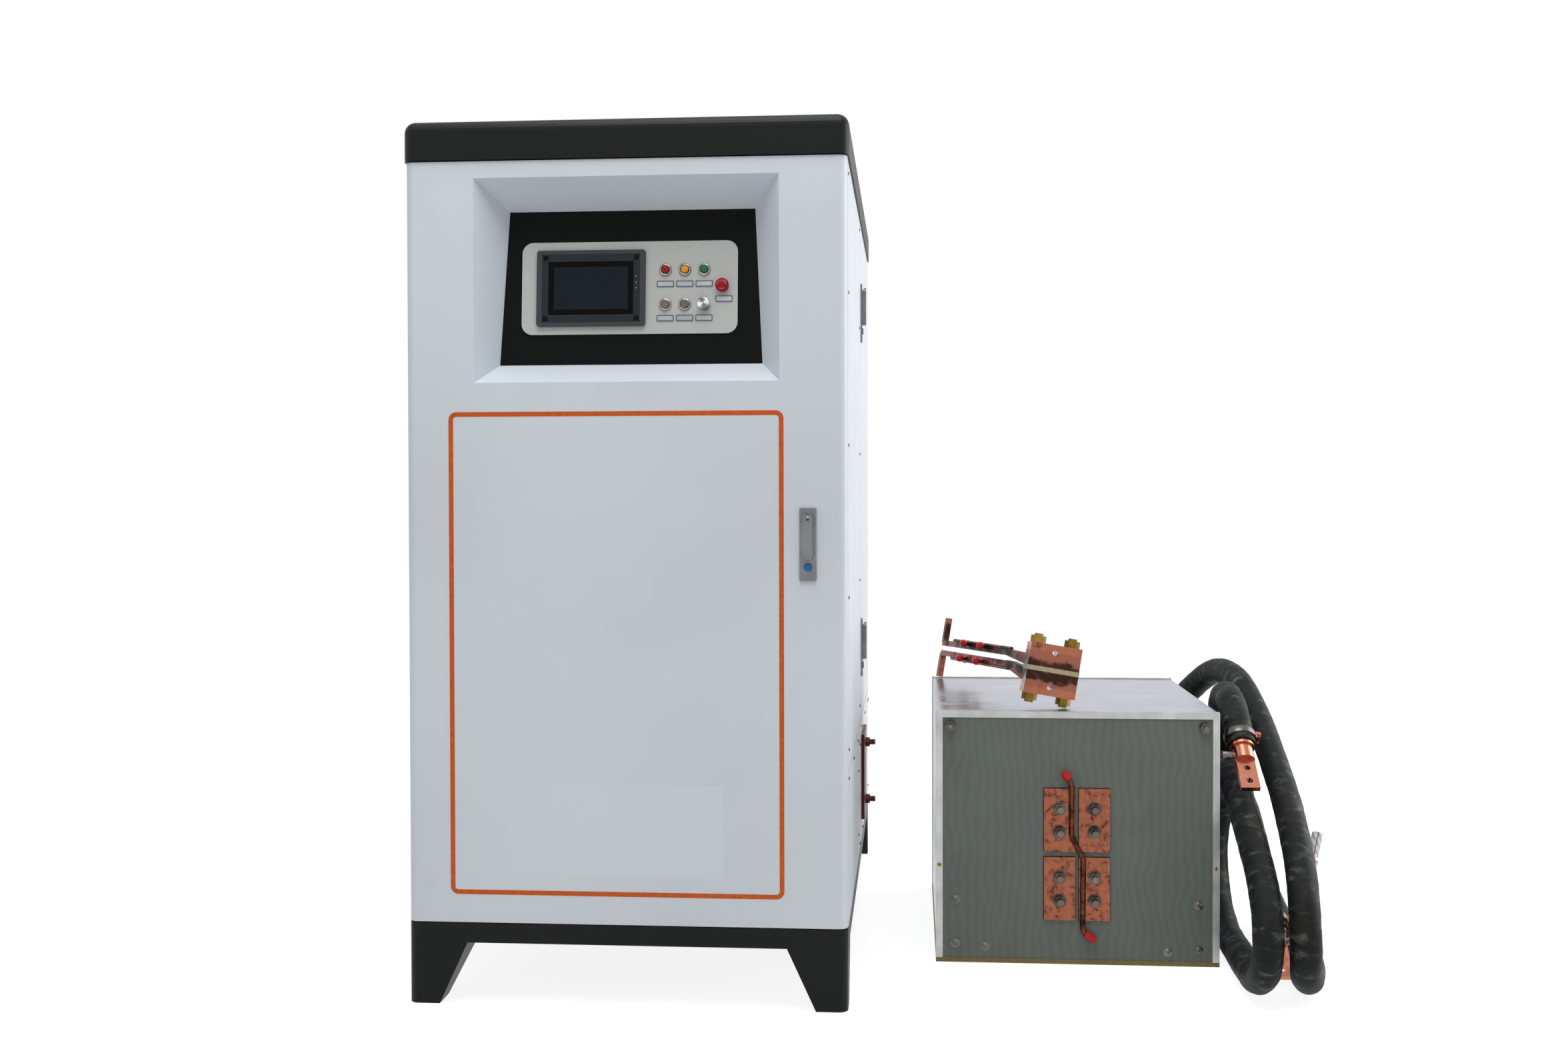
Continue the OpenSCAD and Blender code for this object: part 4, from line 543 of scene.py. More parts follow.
# peel, grain, stroke and patch are sizes in millimetres
finish = {
    "white": powderCoat("whitePowderCoat", "#ccd3da", 0.36, peel=3.0, cloud=0.012),
    "black": powderCoat("blackPowderCoat", "#121314", 0.42, peel=2.0, cloud=0.04, specular=0.16),
    "consoleBlack": powderCoat("blackConsoleSheet", "#0b0c0d", 0.55, peel=1.5, cloud=0.03,
                               specular=0.08),
    "controlPlate": powderCoat("greyControlPlate", "#b8bab8", 0.45, peel=2.5, cloud=0.015),
    "frameBlack": powderCoat("blackFramePaint", "#17181a", 0.5, peel=2.5, cloud=0.05,
                             specular=0.16),
    "film": powderCoat("bareWhiteFilm", "#d0d6db", 0.30, peel=1.2, cloud=0.004),
    "housingGrey": mouldedPlastic("greyHousingPlastic", "#3c3e42", 0.48),
    "filmBlue": mouldedPlastic("blueGreyOverlayFilm", "#20282f", 0.36, specular=0.16),
    "glassBlack": mouldedPlastic("blackScreenGlass", "#060607", 0.2, grain=4.0, specular=0.06),
    "display": mouldedPlastic("sleepingDisplay", "#1b2126", 0.2, grain=6.0, specular=0.06),
    "labelRim": mouldedPlastic("greyLabelHolder", "#585c60", 0.42),
    "darkRing": mouldedPlastic("darkButtonRing", "#1d1b1a", 0.4),
    "redPlastic": mouldedPlastic("redMouldedPlastic", "#8f0f1c", 0.32),
    "arrowInk": mouldedPlastic("paleArrowInk", "#d8787a", 0.4),
    "capRed": mouldedPlastic("redVinylCap", "#b81418", 0.30, Coat_Weight=0.1),
    "bluePlastic": mouldedPlastic("blueMouldedPlastic", "#256a94", 0.35),
    "casing": mouldedPlastic("greyMouldedCasing", "#24282c", 0.5),
    "orange": mouldedPlastic("orangeVinylLine", "#c4561c", 0.38, grain=8.0),
    "faultLens": lampLens("faultLens", "#8e0a14"),
    "standbyLens": lampLens("standbyLens", "#d8931a"),
    "runningLens": lampLens("runningLens", "#0a6848"),
    "nickel": brushedMetal("polishedNickel", "#a9a49c", 0.16, stroke=1.2, spread=0.06),
    "labelFace": brushedMetal("satinLabelPlate", "#a3a9a9", 0.42, along=(1, 6, 6), stroke=1.5),
    "capSteel": brushedMetal("brushedButtonCap", "#6e675f", 0.34, along=(1, 1, 6), stroke=1.5),
    "lockMetal": brushedMetal("dieCastLockZinc", "#7b7d81", 0.38, along=(1, 1, 4), stroke=1.5),
    # partly painted reflection: zinc-plated steel's own grey, darkened to stand in for the dark
    # surroundings that the real steel reflects
    "steel": brushedMetal("zincPlatedSteel", "#6d6a65", 0.30, stroke=1.6, dull=0.2),
    # painted shade: nut steel darker than the other steel, standing in for the dark reflections and
    # the shade in the gaps round the nuts
    "nutSteel": brushedMetal("nutSteelWithPaintedShade", "#575450", 0.24, stroke=1.2, dull=0.3),
    "trimAluminium": brushedMetal("drawnAluminiumAngle", "#b9bab9", 0.36, along=(6, 6, 1),
                                  stroke=2.5),
    "capacitorCan": brushedMetal("impactExtrudedCan", "#b4b8bc", 0.34, along=(1, 6, 1)),
    "brass": brushedMetal("turnedBrass", "#937638", 0.26, stroke=1.6, dull=0.22),
    "iron": brushedMetal("coreIron", "#5b5c60", 0.5, along=(1, 12, 1), stroke=1.0),
    "knob": turnedAluminium(),
    "stainless": stainlessCover(),
    "blockCopper": tarnishedCopper("handledCopperBlock", "#8e5541", "#4f3127", threshold=0.54,
                                   patch=16),
    "brazedCopper": tarnishedCopper("brazedCopper", "#8d5748", "#38241f", threshold=0.53,
                                    patch=40, roughness=0.28, band="insulating_sheet"),
    "clampCopper": tarnishedCopper("clampCopper", "#9c604b", "#523328", threshold=0.56,
                                   patch=40, roughness=0.26),
    "tubeCopper": tarnishedCopper("bentCopperTube", "#60392d", "#2f1f1b", threshold=0.50,
                                  patch=22, roughness=0.32),
    "lugCopper": tarnishedCopper("newCopperLug", "#b3735e", "#7f4938", threshold=0.60,
                                 patch=30, roughness=0.24),
    "barCopper": tarnishedCopper("copperBusbar", "#a9684c", "#6b3e2e", threshold=0.60,
                                 patch=70, roughness=0.30),
    "redBoard": glassLaminate("redTerminalBoard", "#5e1616", "#7a2c28"),
    "greenBoard": glassLaminate("greyGreenGlassLaminate", "#626962", "#7c857c"),
    "yellowBoard": glassLaminate("yellowBaseLaminate", "#7a6a42", "#948354"),
    "beigeSheet": glassLaminate("beigeInsulatingSheet", "#a2977a", "#c3b898"),
}

nodeFinishes = {
    "white": "front_door right_rear_door right_front_panel right_lower_panel left_panel rear_panel",
    "black": "plinth top_cap",
    "frameBlack": "frame",
    "consoleBlack": "console_panel",
    "controlPlate": "console_plate",
    "housingGrey": "hmi_bezel",
    "glassBlack": "hmi_screen",
    "nickel": "control_fittings",
    "capSteel": "stop_button start_button",
    "knob": "power_knob",
    "steel": "estop_stem hinge_pins",
    "nutSteel": "station_fasteners",
    "redPlastic": "estop_head",
    "lockMetal": "front_lock_plate front_lock_spindle front_lock_handle side_lock_plates "
                 "upper_lock_spindle upper_lock_handle lower_lock_spindle lower_lock_handle",
    "bluePlastic": "front_lock_button upper_lock_button lower_lock_button",
    "casing": "main_contactor control_rack",
    "capacitorCan": "dc_capacitors power_modules tank_capacitors",
    "barCopper": "busbars rear_terminals primary_winding",
    "brass": "water_manifold brass_bolts",
    "redBoard": "terminal_board",
    "yellowBoard": "station_base",
    "greenBoard": "station_front_board station_rear_board",
    "stainless": "station_cover",
    "trimAluminium": "station_trim",
    "blockCopper": "output_blocks",
    "iron": "transformer_core",
    "brazedCopper": "inductor_upper inductor_lower",
    "clampCopper": "clamp_plates",
    "beigeSheet": "insulating_sheet",
    "capRed": "inductor_caps",
    "lugCopper": "cable_ends",
    "tubeCopper": "jumper_tube",
}

for look, names in nodeFinishes.items():
    for name in names.split():
        slots = nodes[name].material_slots
        for slot in slots:
            slot.material = finish[look]
        if len(slots) == 0:
            nodes[name].data.materials.append(finish[look])
print("finishes given")

# the turned pieces on the control plate: steps round, then radii and heights in millimetres
turnedProfiles = {
    "screenLamp": (12, [(0, 0), (0.9, 0), (0.9, 0.25), (0.5, 0.5), (0, 0.55)]),
    "ring": (48, [(8.7, 0.2), (8.7, 3.6), (9.4, 4.6), (10.2, 4.9), (11.6, 4.4), (12.7, 3.0),
                  (13.1, 1.2), (13.1, 0.02)]),
    # painted shadow: a dark ring round each lens edge, where the bezel's gasket throws shade
    "paintedShadowRing": (40, [(7.7, 4.0), (7.7, 5.35), (8.3, 5.5), (9.3, 5.0), (9.3, 4.4)]),
    "lens": (40, [(7.75, 3.0), (7.75, 5.6), (7.2, 6.2), (5.8, 6.8), (4.0, 7.15), (2.0, 7.35),
                  (0, 7.4)]),
    "buttonFace": (40, [(8.35, 5.0), (8.35, 5.9), (7.9, 6.2), (7.2, 6.2), (6.6, 5.75), (0, 5.62)]),
    "buttonRing": (40, [(8.55, 4.2), (8.62, 5.3), (8.2, 5.6), (8.2, 4.2)]),
    "knobFace": (64, [(12.1, 14.4), (11.8, 15.6), (10.9, 16.2), (3.2, 16.2), (2.2, 16.0),
                      (0, 15.9)]),
    "knobMark": (16, [(0, 0), (0.9, 0), (0.9, 0.25), (0, 0.3)]),
}


def turnedOnPlate(name, profile, places, look, body):
    # the same turned shape at each place (u, v, out) of the plate
    steps, points = turnedProfiles[profile]
    parts = [(spun(points, steps), onPlate(*place)) for place in places]
    assemble(name, parts, look, body)


screenSettings = {
    "middle": (-79, -1),
    "outer": (204, 141.5),
    "window": (177, 112),
    "radius": 2.0,
    "thickness": 0.25,
    "out": 7.02,
    "display": {"size": (154, 87.7), "radius": 0.5, "thickness": 0.2, "out": 6.02},
    "lamps": {"column": 15.3, "rows": (22, 10, -2), "out": 7.25},
}


def screenPieces(settings):
    width, height = settings["outer"]
    windowWidth, windowHeight = settings["window"]
    cornerReach = 8
    rim = (width - windowWidth) / 2
    bm = roundedSheet(width, height, settings["radius"], settings["thickness"], rim=rim)
    for vert in bm.verts:
        # the window's own edge moves in, because the film is wider above and below it
        if (abs(vert.co.x) <= windowWidth / 2 + 0.01
                and abs(vert.co.y) < height / 2 - cornerReach):
            vert.co.y *= windowHeight / (height - width + windowWidth)
    place = onPlate(*settings["middle"], settings["out"])
    assemble("screenOverlay", [(bm, place)], "filmBlue", "front_door")
    display, lamps = settings["display"], settings["lamps"]
    bm = roundedSheet(*display["size"], display["radius"], display["thickness"])
    place = onPlate(*settings["middle"], display["out"])
    assemble("display", [(bm, place)], "display", "front_door")
    turnedOnPlate("screenLamps", "screenLamp",
                  [(lamps["column"], row, lamps["out"]) for row in lamps["rows"]],
                  "nickel", "front_door")


screenPieces(screenSettings)

labelSettings = {
    "places": [(75, 7), (115, 7), (155, 7), (75, -64), (115, -64), (155, -64), (196, -25)],
    "size": (35, 12.5),
    "holder": {"radius": 1.2, "thickness": 1.5, "rim": 1.6},
    "margin": 3,
    "plate": {"radius": 0.6, "thickness": 0.9},
}


def labels(settings):
    width, height = settings["size"]
    margin = settings["margin"]
    spots = [onPlate(*place) for place in settings["places"]]
    holders = [(roundedSheet(width, height, **settings["holder"]), spot) for spot in spots]
    assemble("labelHolders", holders, "labelRim", "front_door")
    plates = [(roundedSheet(width - margin, height - margin, **settings["plate"]), spot)
              for spot in spots]
    assemble("labelPlates", plates, "labelFace", "front_door")


labels(labelSettings)

lampPlaces = {name: (u, controlPlaces["lampRow"]) for name, u in controlPlaces["lamps"].items()}
buttonPlaces = {body: (u, controlPlaces["buttonRow"])
                for body, u in controlPlaces["buttons"].items()}
turnedOnPlate("controlRings", "ring", [*lampPlaces.values(), *buttonPlaces.values()],
              "nickel", "front_door")
# dark rings in front of the lens edges: painted shadow of the gasket
turnedOnPlate("lampPaintedShadowRings", "paintedShadowRing", lampPlaces.values(), "darkRing", "front_door")
for name, place in lampPlaces.items():
    turnedOnPlate(name + "LampLens", "lens", [place], name + "Lens", "front_door")
for body, place in buttonPlaces.items():
    turnedOnPlate(body + "Face", "buttonFace", [place], "capSteel", body)
    turnedOnPlate(body + "Ring", "buttonRing", [place], "darkRing", body)

knobSettings = {
    "ridges": 48,
    "radius": 13.05,
    "grooveShare": 0.972,
    "skirt": 11.6,
    "rimShare": 0.93,
    "rimRise": 0.9,
    "lift": 1.6,
    "markRadius": 9,
    "markTurn": math.radians(25),
    "markOut": 16.15,
}


def knobPieces(settings):
    u, v = controlPlaces["knob"]
    bm = bmesh.new()
    bmesh.ops.create_circle(bm, segments=2 * settings["ridges"], radius=settings["radius"],
                            cap_ends=False)
    for index, vert in enumerate(bm.verts):
        vert.co *= 1 if index % 2 else settings["grooveShare"]
    grown = bmesh.ops.extrude_edge_only(bm, edges=bm.edges[:])["geom"]
    bmesh.ops.translate(bm, vec=(0, 0, settings["skirt"]), verts=onlyVerts(grown))
    upper = [v for v in bm.verts if v.co.z > settings["skirt"] / 2]
    upperEdges = [e for e in bm.edges if all(v in upper for v in e.verts)]
    rimVerts = onlyVerts(bmesh.ops.extrude_edge_only(bm, edges=upperEdges)["geom"])
    bmesh.ops.scale(bm, vec=(settings["rimShare"], settings["rimShare"], 1), verts=rimVerts)
    bmesh.ops.translate(bm, vec=(0, 0, settings["rimRise"]), verts=rimVerts)
    bmesh.ops.translate(bm, vec=(0, 0, settings["lift"]), verts=bm.verts)
    assemble("knobKnurl", [(bm, onPlate(u, v))], "knob", "power_knob",
             smooth=False)
    turnedOnPlate("knobFace", "knobFace", [(u, v)], "knob", "power_knob")
    turn, reach = settings["markTurn"], settings["markRadius"]
    markPlace = (u - reach * math.sin(turn), v + reach * math.cos(turn), settings["markOut"])
    turnedOnPlate("knobMark", "knobMark", [markPlace], "darkRing", "power_knob")


knobPieces(knobSettings)

arrowSettings = {
    "count": 3,
    "steps": 12,
    "radius": 8.6,
    "width": 1.3,
    "sweep": math.radians(62),
    "thickness": 0.45,
    "out": 19.2,
    "crownRadius": 14,
    "crownDrop": 3.2,
}


def spunArc(settings):
    bm = bmesh.new()
    inner = settings["radius"] - settings["width"] / 2
    outer = settings["radius"] + settings["width"] / 2
    high = settings["thickness"]
    points = [bm.verts.new((x, 0, z - (x / settings["crownRadius"]) ** 2 * settings["crownDrop"]))
              for x, z in [(inner, 0), (outer, 0), (outer, high), (inner, high)]]
    section = bm.faces.new(points)
    bmesh.ops.spin(bm, geom=[section], axis=(0, 0, 1), cent=(0, 0, 0), angle=settings["sweep"],
                   steps=settings["steps"], use_merge=False)
    bmesh.ops.holes_fill(bm, edges=[e for e in bm.edges if e.is_boundary])
    return bm


def turnArrows(settings):
    # raised arcs that follow the crown of the emergency stop's head
    head = onPlate(*controlPlaces["emergencyStop"], settings["out"])
    step = 2 * math.pi / settings["count"]
    parts = [(spunArc(settings), head @ Matrix.Rotation(step * index, 4, "Z"))
             for index in range(settings["count"])]
    assemble("emergencyArrows", parts, "arrowInk", "estop_head")


turnArrows(arrowSettings)
print("console dressed")

cabinetMiddle, cabinetFront, stationMiddle = -400, -750, 541


def cabinetPlace(x, y, z):
    # millimetres from the cabinet's middle, its front and the floor
    return Vector((x + cabinetMiddle, y + cabinetFront, z)) * millimetre


def stationPlace(x, y, z):
    # millimetres from the middle of the station's width, the origin's depth and the floor
    return Vector((x + stationMiddle, y, z)) * millimetre


# on the front door: edges from the cabinet's middle and from the floor, in millimetres
borderSettings = {"left": -361, "right": 322.5, "low": 225.5, "high": 1208.5, "radius": 16,
                  "thickness": 0.25, "rim": 9.6}
filmSettings = {"left": -239, "right": 199, "low": 264, "high": 452, "radius": 1.5,
                "thickness": 0.18, "rim": 0.0}


def doorSheet(name, settings, look):
    left, right, low, high = (settings[edge] for edge in ("left", "right", "low", "high"))
    bm = roundedSheet(right - left, high - low, settings["radius"], settings["thickness"],
                      rim=settings["rim"])
    middle = cabinetPlace((left + right) / 2, 0, (low + high) / 2)
    place = Matrix.Translation(middle) @ rotated(90, "X")
    assemble(name, [(bm, place)], look, "front_door")


doorSheet("orangeBorder", borderSettings, "orange")
doorSheet("bareFilm", filmSettings, "film")
print("door dressed")

screwSettings = {
    "small": {"radius": 3.6, "height": 2.4},
    "board": {"radius": 7.2, "height": 3.0},
    "trim": {"radius": 4.6, "height": 2.0},
    "steps": 24,
    "headShares": [(1, 0), (1, 0.45), (0.86, 0.78), (0.55, 1), (0, 1)],
    "armLength": 1.15,
    "armWidth": 0.24,
    "armMiddle": 1.05,
    "degreesBetween": 37,
    "washerRadius": 10.5,
    "washerThickness": 1.2,
}
coplanarShift = 1e-5


def crossHead(radius, height):
    # pan head on z = 0 with a real cross recess; the shift keeps the arms' faces apart
    s = screwSettings
    head = spun([(radius * out, height * up) for out, up in s["headShares"]], s["steps"])
    bmesh.ops.recalc_face_normals(head, faces=head.faces)
    headObject = meshObject(head, "head")
    cutter = bmesh.new()
    for turn in (0, 90):
        arm = bmesh.ops.create_cube(cutter, size=1)["verts"]
        bmesh.ops.scale(cutter, vec=(radius * s["armLength"], radius * s["armWidth"], height),
                        verts=arm)
        bmesh.ops.rotate(cutter, matrix=Matrix.Rotation(math.radians(turn), 3, "Z"), verts=arm)
        bmesh.ops.translate(cutter, vec=(0, 0, height * s["armMiddle"] + turn * coplanarShift),
                            verts=arm)
    cutterObject = meshObject(cutter, "cross")
    boolean = headObject.modifiers.new("recess", "BOOLEAN")
    boolean.object = cutterObject
    boolean.use_self = True
    bpy.context.view_layer.update()
    cut = headObject.evaluated_get(bpy.context.evaluated_depsgraph_get())
    result = bpy.data.meshes.new_from_object(cut)
    bpy.data.objects.remove(headObject)
    bpy.data.objects.remove(cutterObject)
    return result


def screws(name, places, facing, mesh, look, washer=False):
    # copies of one head at places in metres; facing is the way that they look
    radius, thickness = screwSettings["washerRadius"], screwSettings["washerThickness"]
    lift = Matrix.Translation((0, 0, (thickness if washer else 0) * millimetre))
    parts = []
    for index, place in enumerate(places):
        bm = bmesh.new()
        bm.from_mesh(mesh)
        degrees = screwSettings["degreesBetween"] * index % 90
        spin = rotated(degrees, "Z")
        seat = Matrix.Translation(place) @ facingTurn(facing)
        parts.append((bm, seat @ lift @ spin))
        if washer:
            disc = spun([(radius, 0), (radius, thickness * 0.8), (radius - 0.4, thickness),
                         (0, thickness)], 28)
            parts.append((disc, seat))
    assemble(name, parts, look, "machine")


# the lower panel's upper row falls to the rear with the panel's edge
lowerPanelRow = [(y, 462 - (y - 56) * 17 / 1424) for y in (56, 330, 604, 878, 1152, 1426, 1480)]
lowerPanelRest = [(758, 423), (646, 376), (640, 224), (749, 179), (959, 178), (1180, 178),
                  (1462, 196)]
panelLevels = (200, 580, 960, 1340, 1690)
panelScrews = {
    "lowerPanelScrews": ((1, 0, 0), [(450, y, z) for y, z in lowerPanelRow + lowerPanelRest]),
    "frontPanelScrews": ((1, 0, 0), [(450, y, z) for y in (60, 752)
                                     for z in (520, 830, 1140, 1450, 1690)]),
    "leftPanelScrews": ((-1, 0, 0), [(-450, y, z) for y in (60, 750, 1440)
                                     for z in panelLevels]),
    "rearPanelScrews": ((0, 1, 0), [(x, 1500, z) for x in (-410, 410) for z in panelLevels]),
}
boardScrews = {
    "boardScrews": ((0, -1, 0), -378, [(-266.8, 139), (-266.9, 41.9), (-201.9, 35.3),
                                       (264.8, 134.8), (265, 35.8), (198.4, 30.8)]),
    "rearBoardScrews": ((0, 1, 0), 298, [(-266, 139), (-266, 42), (-202, 35), (198, 31)]),
}

smallHead = crossHead(**screwSettings["small"])
boardHead = crossHead(**screwSettings["board"])
for name, (facing, places) in panelScrews.items():
    screws(name, [cabinetPlace(*place) for place in places], facing, smallHead, "steel")
for name, (facing, y, places) in boardScrews.items():
    screws(name, [stationPlace(x, y, z) for x, z in places], facing, boardHead, "steel",
           washer=True)
screws("trimScrews", [stationPlace(x, -380, 217) for x in (-302, 302)], (0, -1, 0),
       crossHead(**screwSettings["trim"]), "brass")
print("screws set")

threadSettings = {
    "stud": {"diameter": 14, "length": 11.5, "pitch": 2.0},
    "rod": {"diameter": 12, "length": 6.4, "pitch": 1.75},
    "stand": 0.12,
    "steps": 28,
}


def threadedEnd(diameter, length, pitch):
    # crests and roots as rings, and a blunt end
    radius = diameter / 2 + threadSettings["stand"]
    profile = [(radius * 0.96, 0)]
    turns = int((length - 2) / pitch)
    for turn in range(turns):
        start = turn * pitch
        profile += [(radius, start + pitch * 0.35), (radius, start + pitch * 0.5),
                    (radius * 0.925, start + pitch * 0.95)]
    profile += [(radius * 0.9, turns * pitch), (radius * 0.82, length),
                (radius * 0.5, length + 0.4), (0, length + 0.4)]
    return spun(profile, threadSettings["steps"])


def frontThreads(name, places, size):
    turn = facingTurn((0, -1, 0))
    parts = [(threadedEnd(**size), Matrix.Translation(place) @ turn) for place in places]
    assemble(name, parts, "steel", "machine")


sides = (-1, 1)
frontThreads("studThreads", [stationPlace(x * 38, -396.5, 244 + z * 76 + stud * 25.9)
                             for x in sides for z in sides for stud in sides],
             threadSettings["stud"])
frontThreads("rodThreads", [stationPlace(x * 278, -391.5, 527) for x in sides],
             threadSettings["rod"])

# the bent cooling tube between the blocks; shares are of a block's height, from the four's middle
jumperSettings = {
    "diameter": 12.0,
    "sides": 20,
    "stepsPerPoint": 8,
    "dents": 0.03,
    "dentsPerMetre": 40,
    "front": -389.3,
    "level": 244.0,
    "blockHeight": 140.0,
    "shares": [(-0.136, 1.2), (-0.1, 1.136), (-0.086, 1.057), (-0.086, 0.75), (-0.086, 0.4),
               (-0.079, 0.286), (0, 0.12), (0.086, -0.043), (0.093, -0.157), (0.09, -0.6),
               (0.086, -1.129), (0.093, -1.179), (0.121, -1.229)],
    "capEnds": [(-0.221, 1.314), (0.286, -1.35)],
    "capBore": 6.2,
    "capDiameter": 18.0,
    "capLip": 0.9,
}


def vinylCap(bore, radius, lip, start, end):
    # soft cap with a rounded mouth, a slight waist and a domed end
    return spun([(bore, start), (radius - lip, start), (radius, start + lip),
                 (radius - 0.5, start + 3), (radius - 0.3, end - 5), (radius - 2, end - 1.6),
                 (radius - 5, end - 0.2), (0, end)], 28)


def jumperPoint(share):
    s = jumperSettings
    return stationPlace(share[0] * s["blockHeight"], s["front"],
                        s["level"] + share[1] * s["blockHeight"])


def jumperPieces():
    s = jumperSettings

    def radiusAt(distance, angle):
        place = Vector((math.cos(angle), math.sin(angle), distance * s["dentsPerMetre"]))
        return s["diameter"] / 2 * millimetre * (1 + s["dents"] * noise.noise(place))

    path = smoothPath([jumperPoint(share) for share in s["shares"]], s["stepsPerPoint"])
    tube = toMesh(sweepTube(path, s["sides"], radiusAt), "bentTube", finish["tubeCopper"],
                  "machine")
    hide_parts("jumper_tube")
    parts = []
    for start, end in zip((s["shares"][0], s["shares"][-1]), s["capEnds"]):
        a, b = jumperPoint(start), jumperPoint(end)
        cap = vinylCap(s["capBore"], s["capDiameter"] / 2, s["capLip"], 0,
                       (b - a).length / millimetre)
        parts.append((cap, Matrix.Translation(a) @ facingTurn(b - a)))
    assemble("tubeCaps", parts, "capRed", "machine")


jumperPieces()

# steel skins on the lugs' clamps and hose nipples, and the clamp on the clear hose
skinSettings = {
    "ring": {"radius": 34.4, "thickness": 0.6, "low": -30.3, "high": -13.7},
    "nipple": {"radius": 8.1, "thickness": 0.5, "low": 22.4, "high": 45.8},
    "barrelMiddle": 27.0,
}
hoseClampSettings = {
    "share": 0.78,
    "band": {"radius": 12.05, "thickness": 0.8, "low": -4.5, "high": 4.5},
    "wormRadius": 3.4,
    "wormLength": 14,
    "wormPlace": 15.2,
}


def sleeve(radius, thickness, low, high):
    outer = radius + thickness
    return spun([(radius, low), (outer - 0.2, low), (outer, low + 0.3), (outer, high - 0.3),
                 (outer - 0.2, high), (radius, high), (radius, low)], 48)


def endFrame(route):
    end, before = Vector(inMetres(route[-1])), Vector(inMetres(route[-2]))
    way = (end - before).normalized()
    turn = (Matrix.Rotation(math.atan2(way.y, way.x), 4, "Z")
            @ Matrix.Rotation(math.acos(way.z), 4, "Y"))
    return Matrix.Translation(end) @ turn


def lugClampSkins(settings):
    parts = []
    for route, degrees in ((cableRouteA, 90), (cableRouteB, -90)):
        place = endFrame(route)
        parts.append((sleeve(**settings["ring"]), place))
        across = (Matrix.Translation((0, 0, settings["barrelMiddle"] * millimetre))
                  @ rotated(degrees, "X"))
        parts.append((sleeve(**settings["nipple"]), place @ across))
    assemble("lugClampSkins", parts, "steel", "machine")


def hoseClamp(settings):
    spot = int(len(hosePath) * settings["share"])
    place = (Matrix.Translation(hosePath[spot])
             @ facingTurn(hosePath[spot + 1] - hosePath[spot - 1]))
    worm = bmesh.new()
    bmesh.ops.create_cone(worm, cap_ends=True, segments=20, radius1=settings["wormRadius"],
                          radius2=settings["wormRadius"], depth=settings["wormLength"])
    across = (Matrix.Translation((0, settings["wormPlace"] * millimetre, 0))
              @ rotated(90, "Y"))
    parts = [(sleeve(**settings["band"]), place), (worm, place @ across)]
    assemble("hoseClamp", parts, "nickel", "machine")


lugClampSkins(skinSettings)
hoseClamp(hoseClampSettings)

# the capped cooling stubs on the near side of the inductor's legs, in the inductor's own frame
stubSettings = {
    "origin": (0.4902, -0.363, 0.6484),
    "legStart": (-78, 193),
    "legTurn": 17.5,
    "legLength": 480,
    "legs": [{"height": 25, "rise": 6.3, "shares": (0.625, 0.375)},
             {"height": -1, "rise": -6.3, "shares": (0.645, 0.405)}],
    "root": -5,
    "out": -16,
    "stubRadius": 4.5,
    "stubLength": 9,
    "capStart": 6,
    "capLength": 21,
    "capRadius": 9.2,
    "capLip": 0.8,
}


def cappedStubs(s):
    pack = (Matrix.Translation(s["origin"])
            @ rotated(inductorLean["roll"], "Y")
            @ rotated(inductorLean["lean"], "X"))
    forwardTurn = rotated(90, "X")
    radius = s["stubRadius"]
    stubs, caps = [], []
    for line in s["legs"]:
        leg = (Matrix.Translation(Vector((*s["legStart"], line["height"])) * millimetre)
               @ rotated(s["legTurn"], "Z"))
        for share in line["shares"]:
            along, rise = s["legLength"] * share, line["rise"]
            spot = leg @ (Vector((s["out"], along, rise)) * millimetre)
            root = leg @ (Vector((s["root"], along, rise)) * millimetre)
            corner = pack @ Matrix.Translation(spot)
            inward = spun([(radius, 0), (radius, (root - spot).length / millimetre)], 20)
            forward = spun([(radius, 0), (radius, s["stubLength"])], 20)
            ball = bmesh.new()
            bmesh.ops.create_uvsphere(ball, u_segments=20, v_segments=12, radius=radius)
            stubs += [(inward, corner @ facingTurn(root - spot)),
                      (forward, corner @ forwardTurn), (ball, corner @ forwardTurn)]
            cap = vinylCap(radius, s["capRadius"], s["capLip"], s["capStart"],
                           s["capStart"] + s["capLength"])
            caps.append((cap, corner @ forwardTurn))
    assemble("coolingStubs", stubs, "brazedCopper", "inductor")
    assemble("coolingStubCaps", caps, "capRed", "inductor")


cappedStubs(stubSettings)
print("station dressed")

lightSettings = {
    "top": {"place": (0.0, -1.7, 4.2), "aim": (0.0, -0.9, 0.8), "size": 2.4, "power": 95},
    "left": {"place": (-3.6, -3.2, 2.2), "aim": (0.1, 0, 0.8), "size": 3.0, "power": 8},
    "right": {"place": (4.2, 0.9, 1.8), "aim": (0.0, 0.2, 0.9), "size": 3.0, "power": 120},
}
studioSettings = {
    "ambient": 0.50,
    "floorHalfSize": 20,
    "floorLit": "#e6e6e6",
    "floorSeen": "#8a8a8a",
    "floorGlow": 0.88,
}


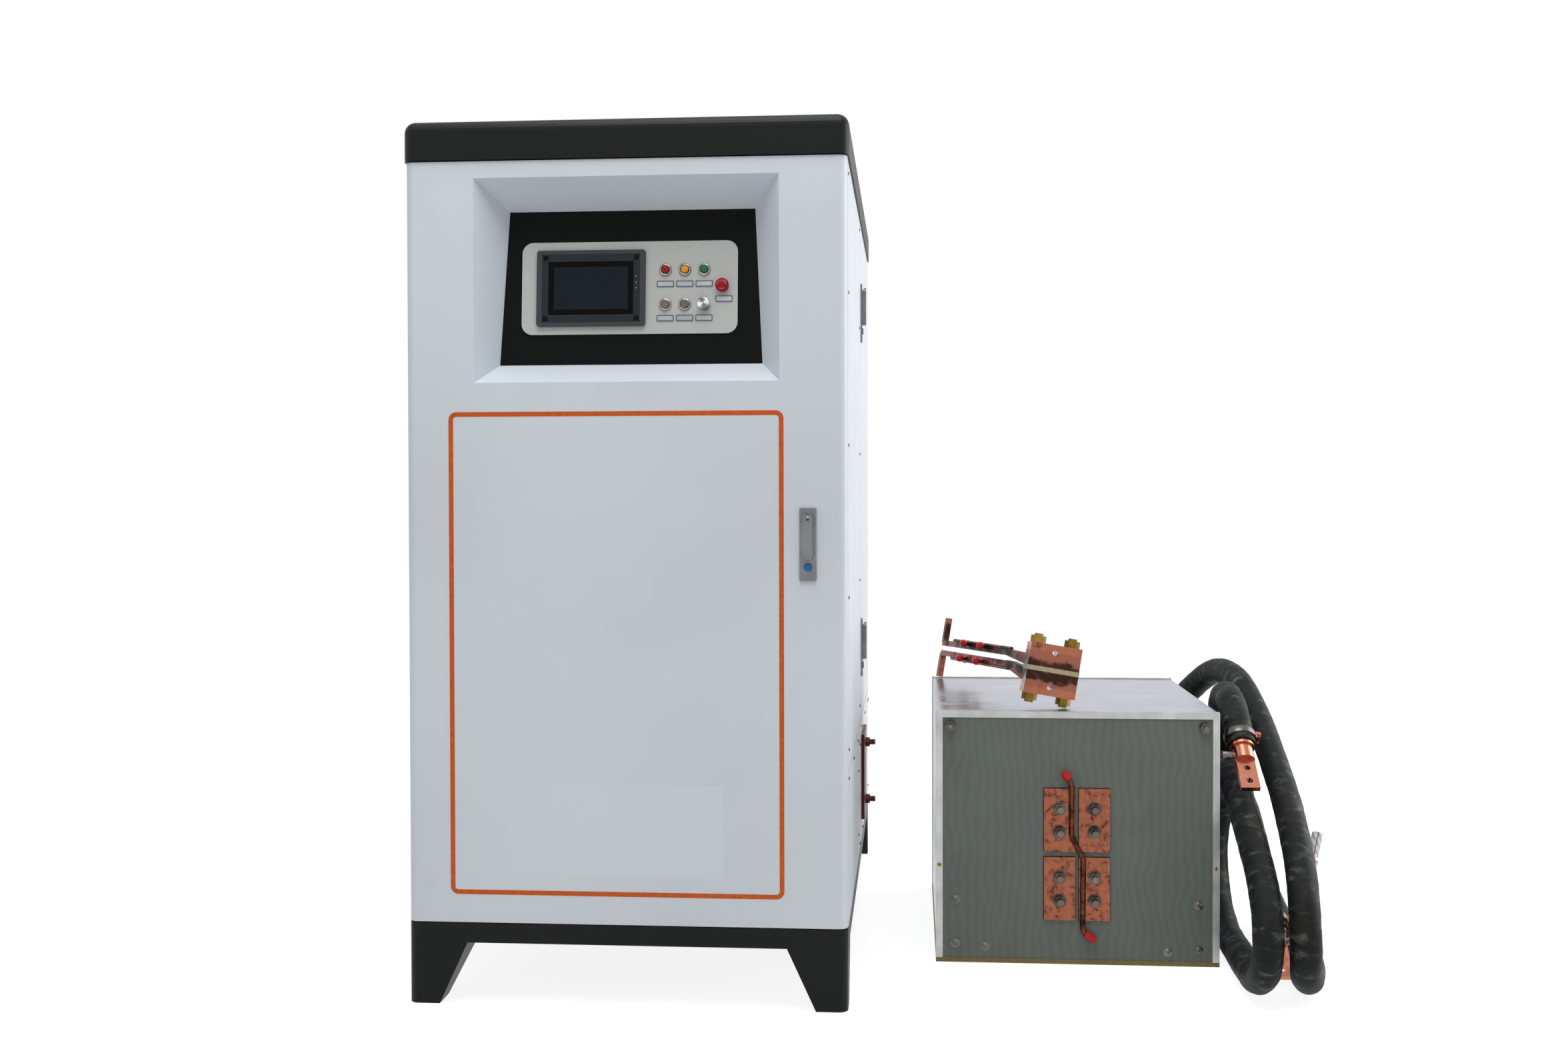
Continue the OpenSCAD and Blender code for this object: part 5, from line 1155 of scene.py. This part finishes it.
def softLight(name, settings):
    lamp = bpy.data.lights.new(name, "AREA")
    lamp.size = settings["size"]
    lamp.energy = settings["power"]
    light = putInScene(name, lamp)
    light.location = settings["place"]
    direction = Vector(settings["aim"]) - Vector(settings["place"])
    light.rotation_euler = direction.to_track_quat("-Z", "Y").to_euler()


def emptyTree(owner):
    owner.use_nodes = True
    owner.node_tree.nodes.clear()
    return owner.node_tree


def seenRays(tree):
    # 1 for what the camera sees, mirrored or through glass too, and 0 for what only lights
    rays = addNode(tree, "LightPath")
    seen = addNode(tree, "Math", {0: rays.outputs["Is Camera Ray"],
                                  1: rays.outputs["Is Glossy Ray"]}, operation="ADD")
    return addNode(tree, "Math", {0: seen, 1: rays.outputs["Is Transmission Ray"]}, operation="ADD",
                   use_clamp=True)


def lightRoom(settings):
    world = bpy.data.worlds.new("studio")
    bpy.context.scene.world = world
    tree = emptyTree(world)
    level = addNode(tree, "MapRange", Value=seenRays(tree), To_Min=settings["ambient"], To_Max=1.0)
    glow = addNode(tree, "Background", Color=(1, 1, 1, 1), Strength=level)
    addNode(tree, "OutputWorld", Surface=glow)


def layFloor(settings):
    # grey paper that bounces light like paper, but is seen nearly white
    material = bpy.data.materials.new("paleStudioFloor")
    tree = emptyTree(material)
    seen = seenRays(tree)
    paper = addNode(tree, "BsdfDiffuse", Color=toLinear(settings["floorLit"]))
    shade = addNode(tree, "BsdfDiffuse", Color=toLinear(settings["floorSeen"]))
    lift = addNode(tree, "Emission", Color=(1, 1, 1, 1), Strength=settings["floorGlow"])
    together = addNode(tree, "AddShader", {0: shade, 1: lift})
    chosen = addNode(tree, "MixShader", {0: seen, 1: paper, 2: together})
    addNode(tree, "OutputMaterial", Surface=chosen)
    bm = bmesh.new()
    bmesh.ops.create_grid(bm, x_segments=1, y_segments=1, size=settings["floorHalfSize"])
    floor = meshObject(bm, "floor")
    floor.data.materials.append(material)


for name, settings in lightSettings.items():
    softLight(name + "Light", settings)
lightRoom(studioSettings)
layFloor(studioSettings)
bpy.context.scene.view_settings.view_transform = "Standard"
print("stage set")
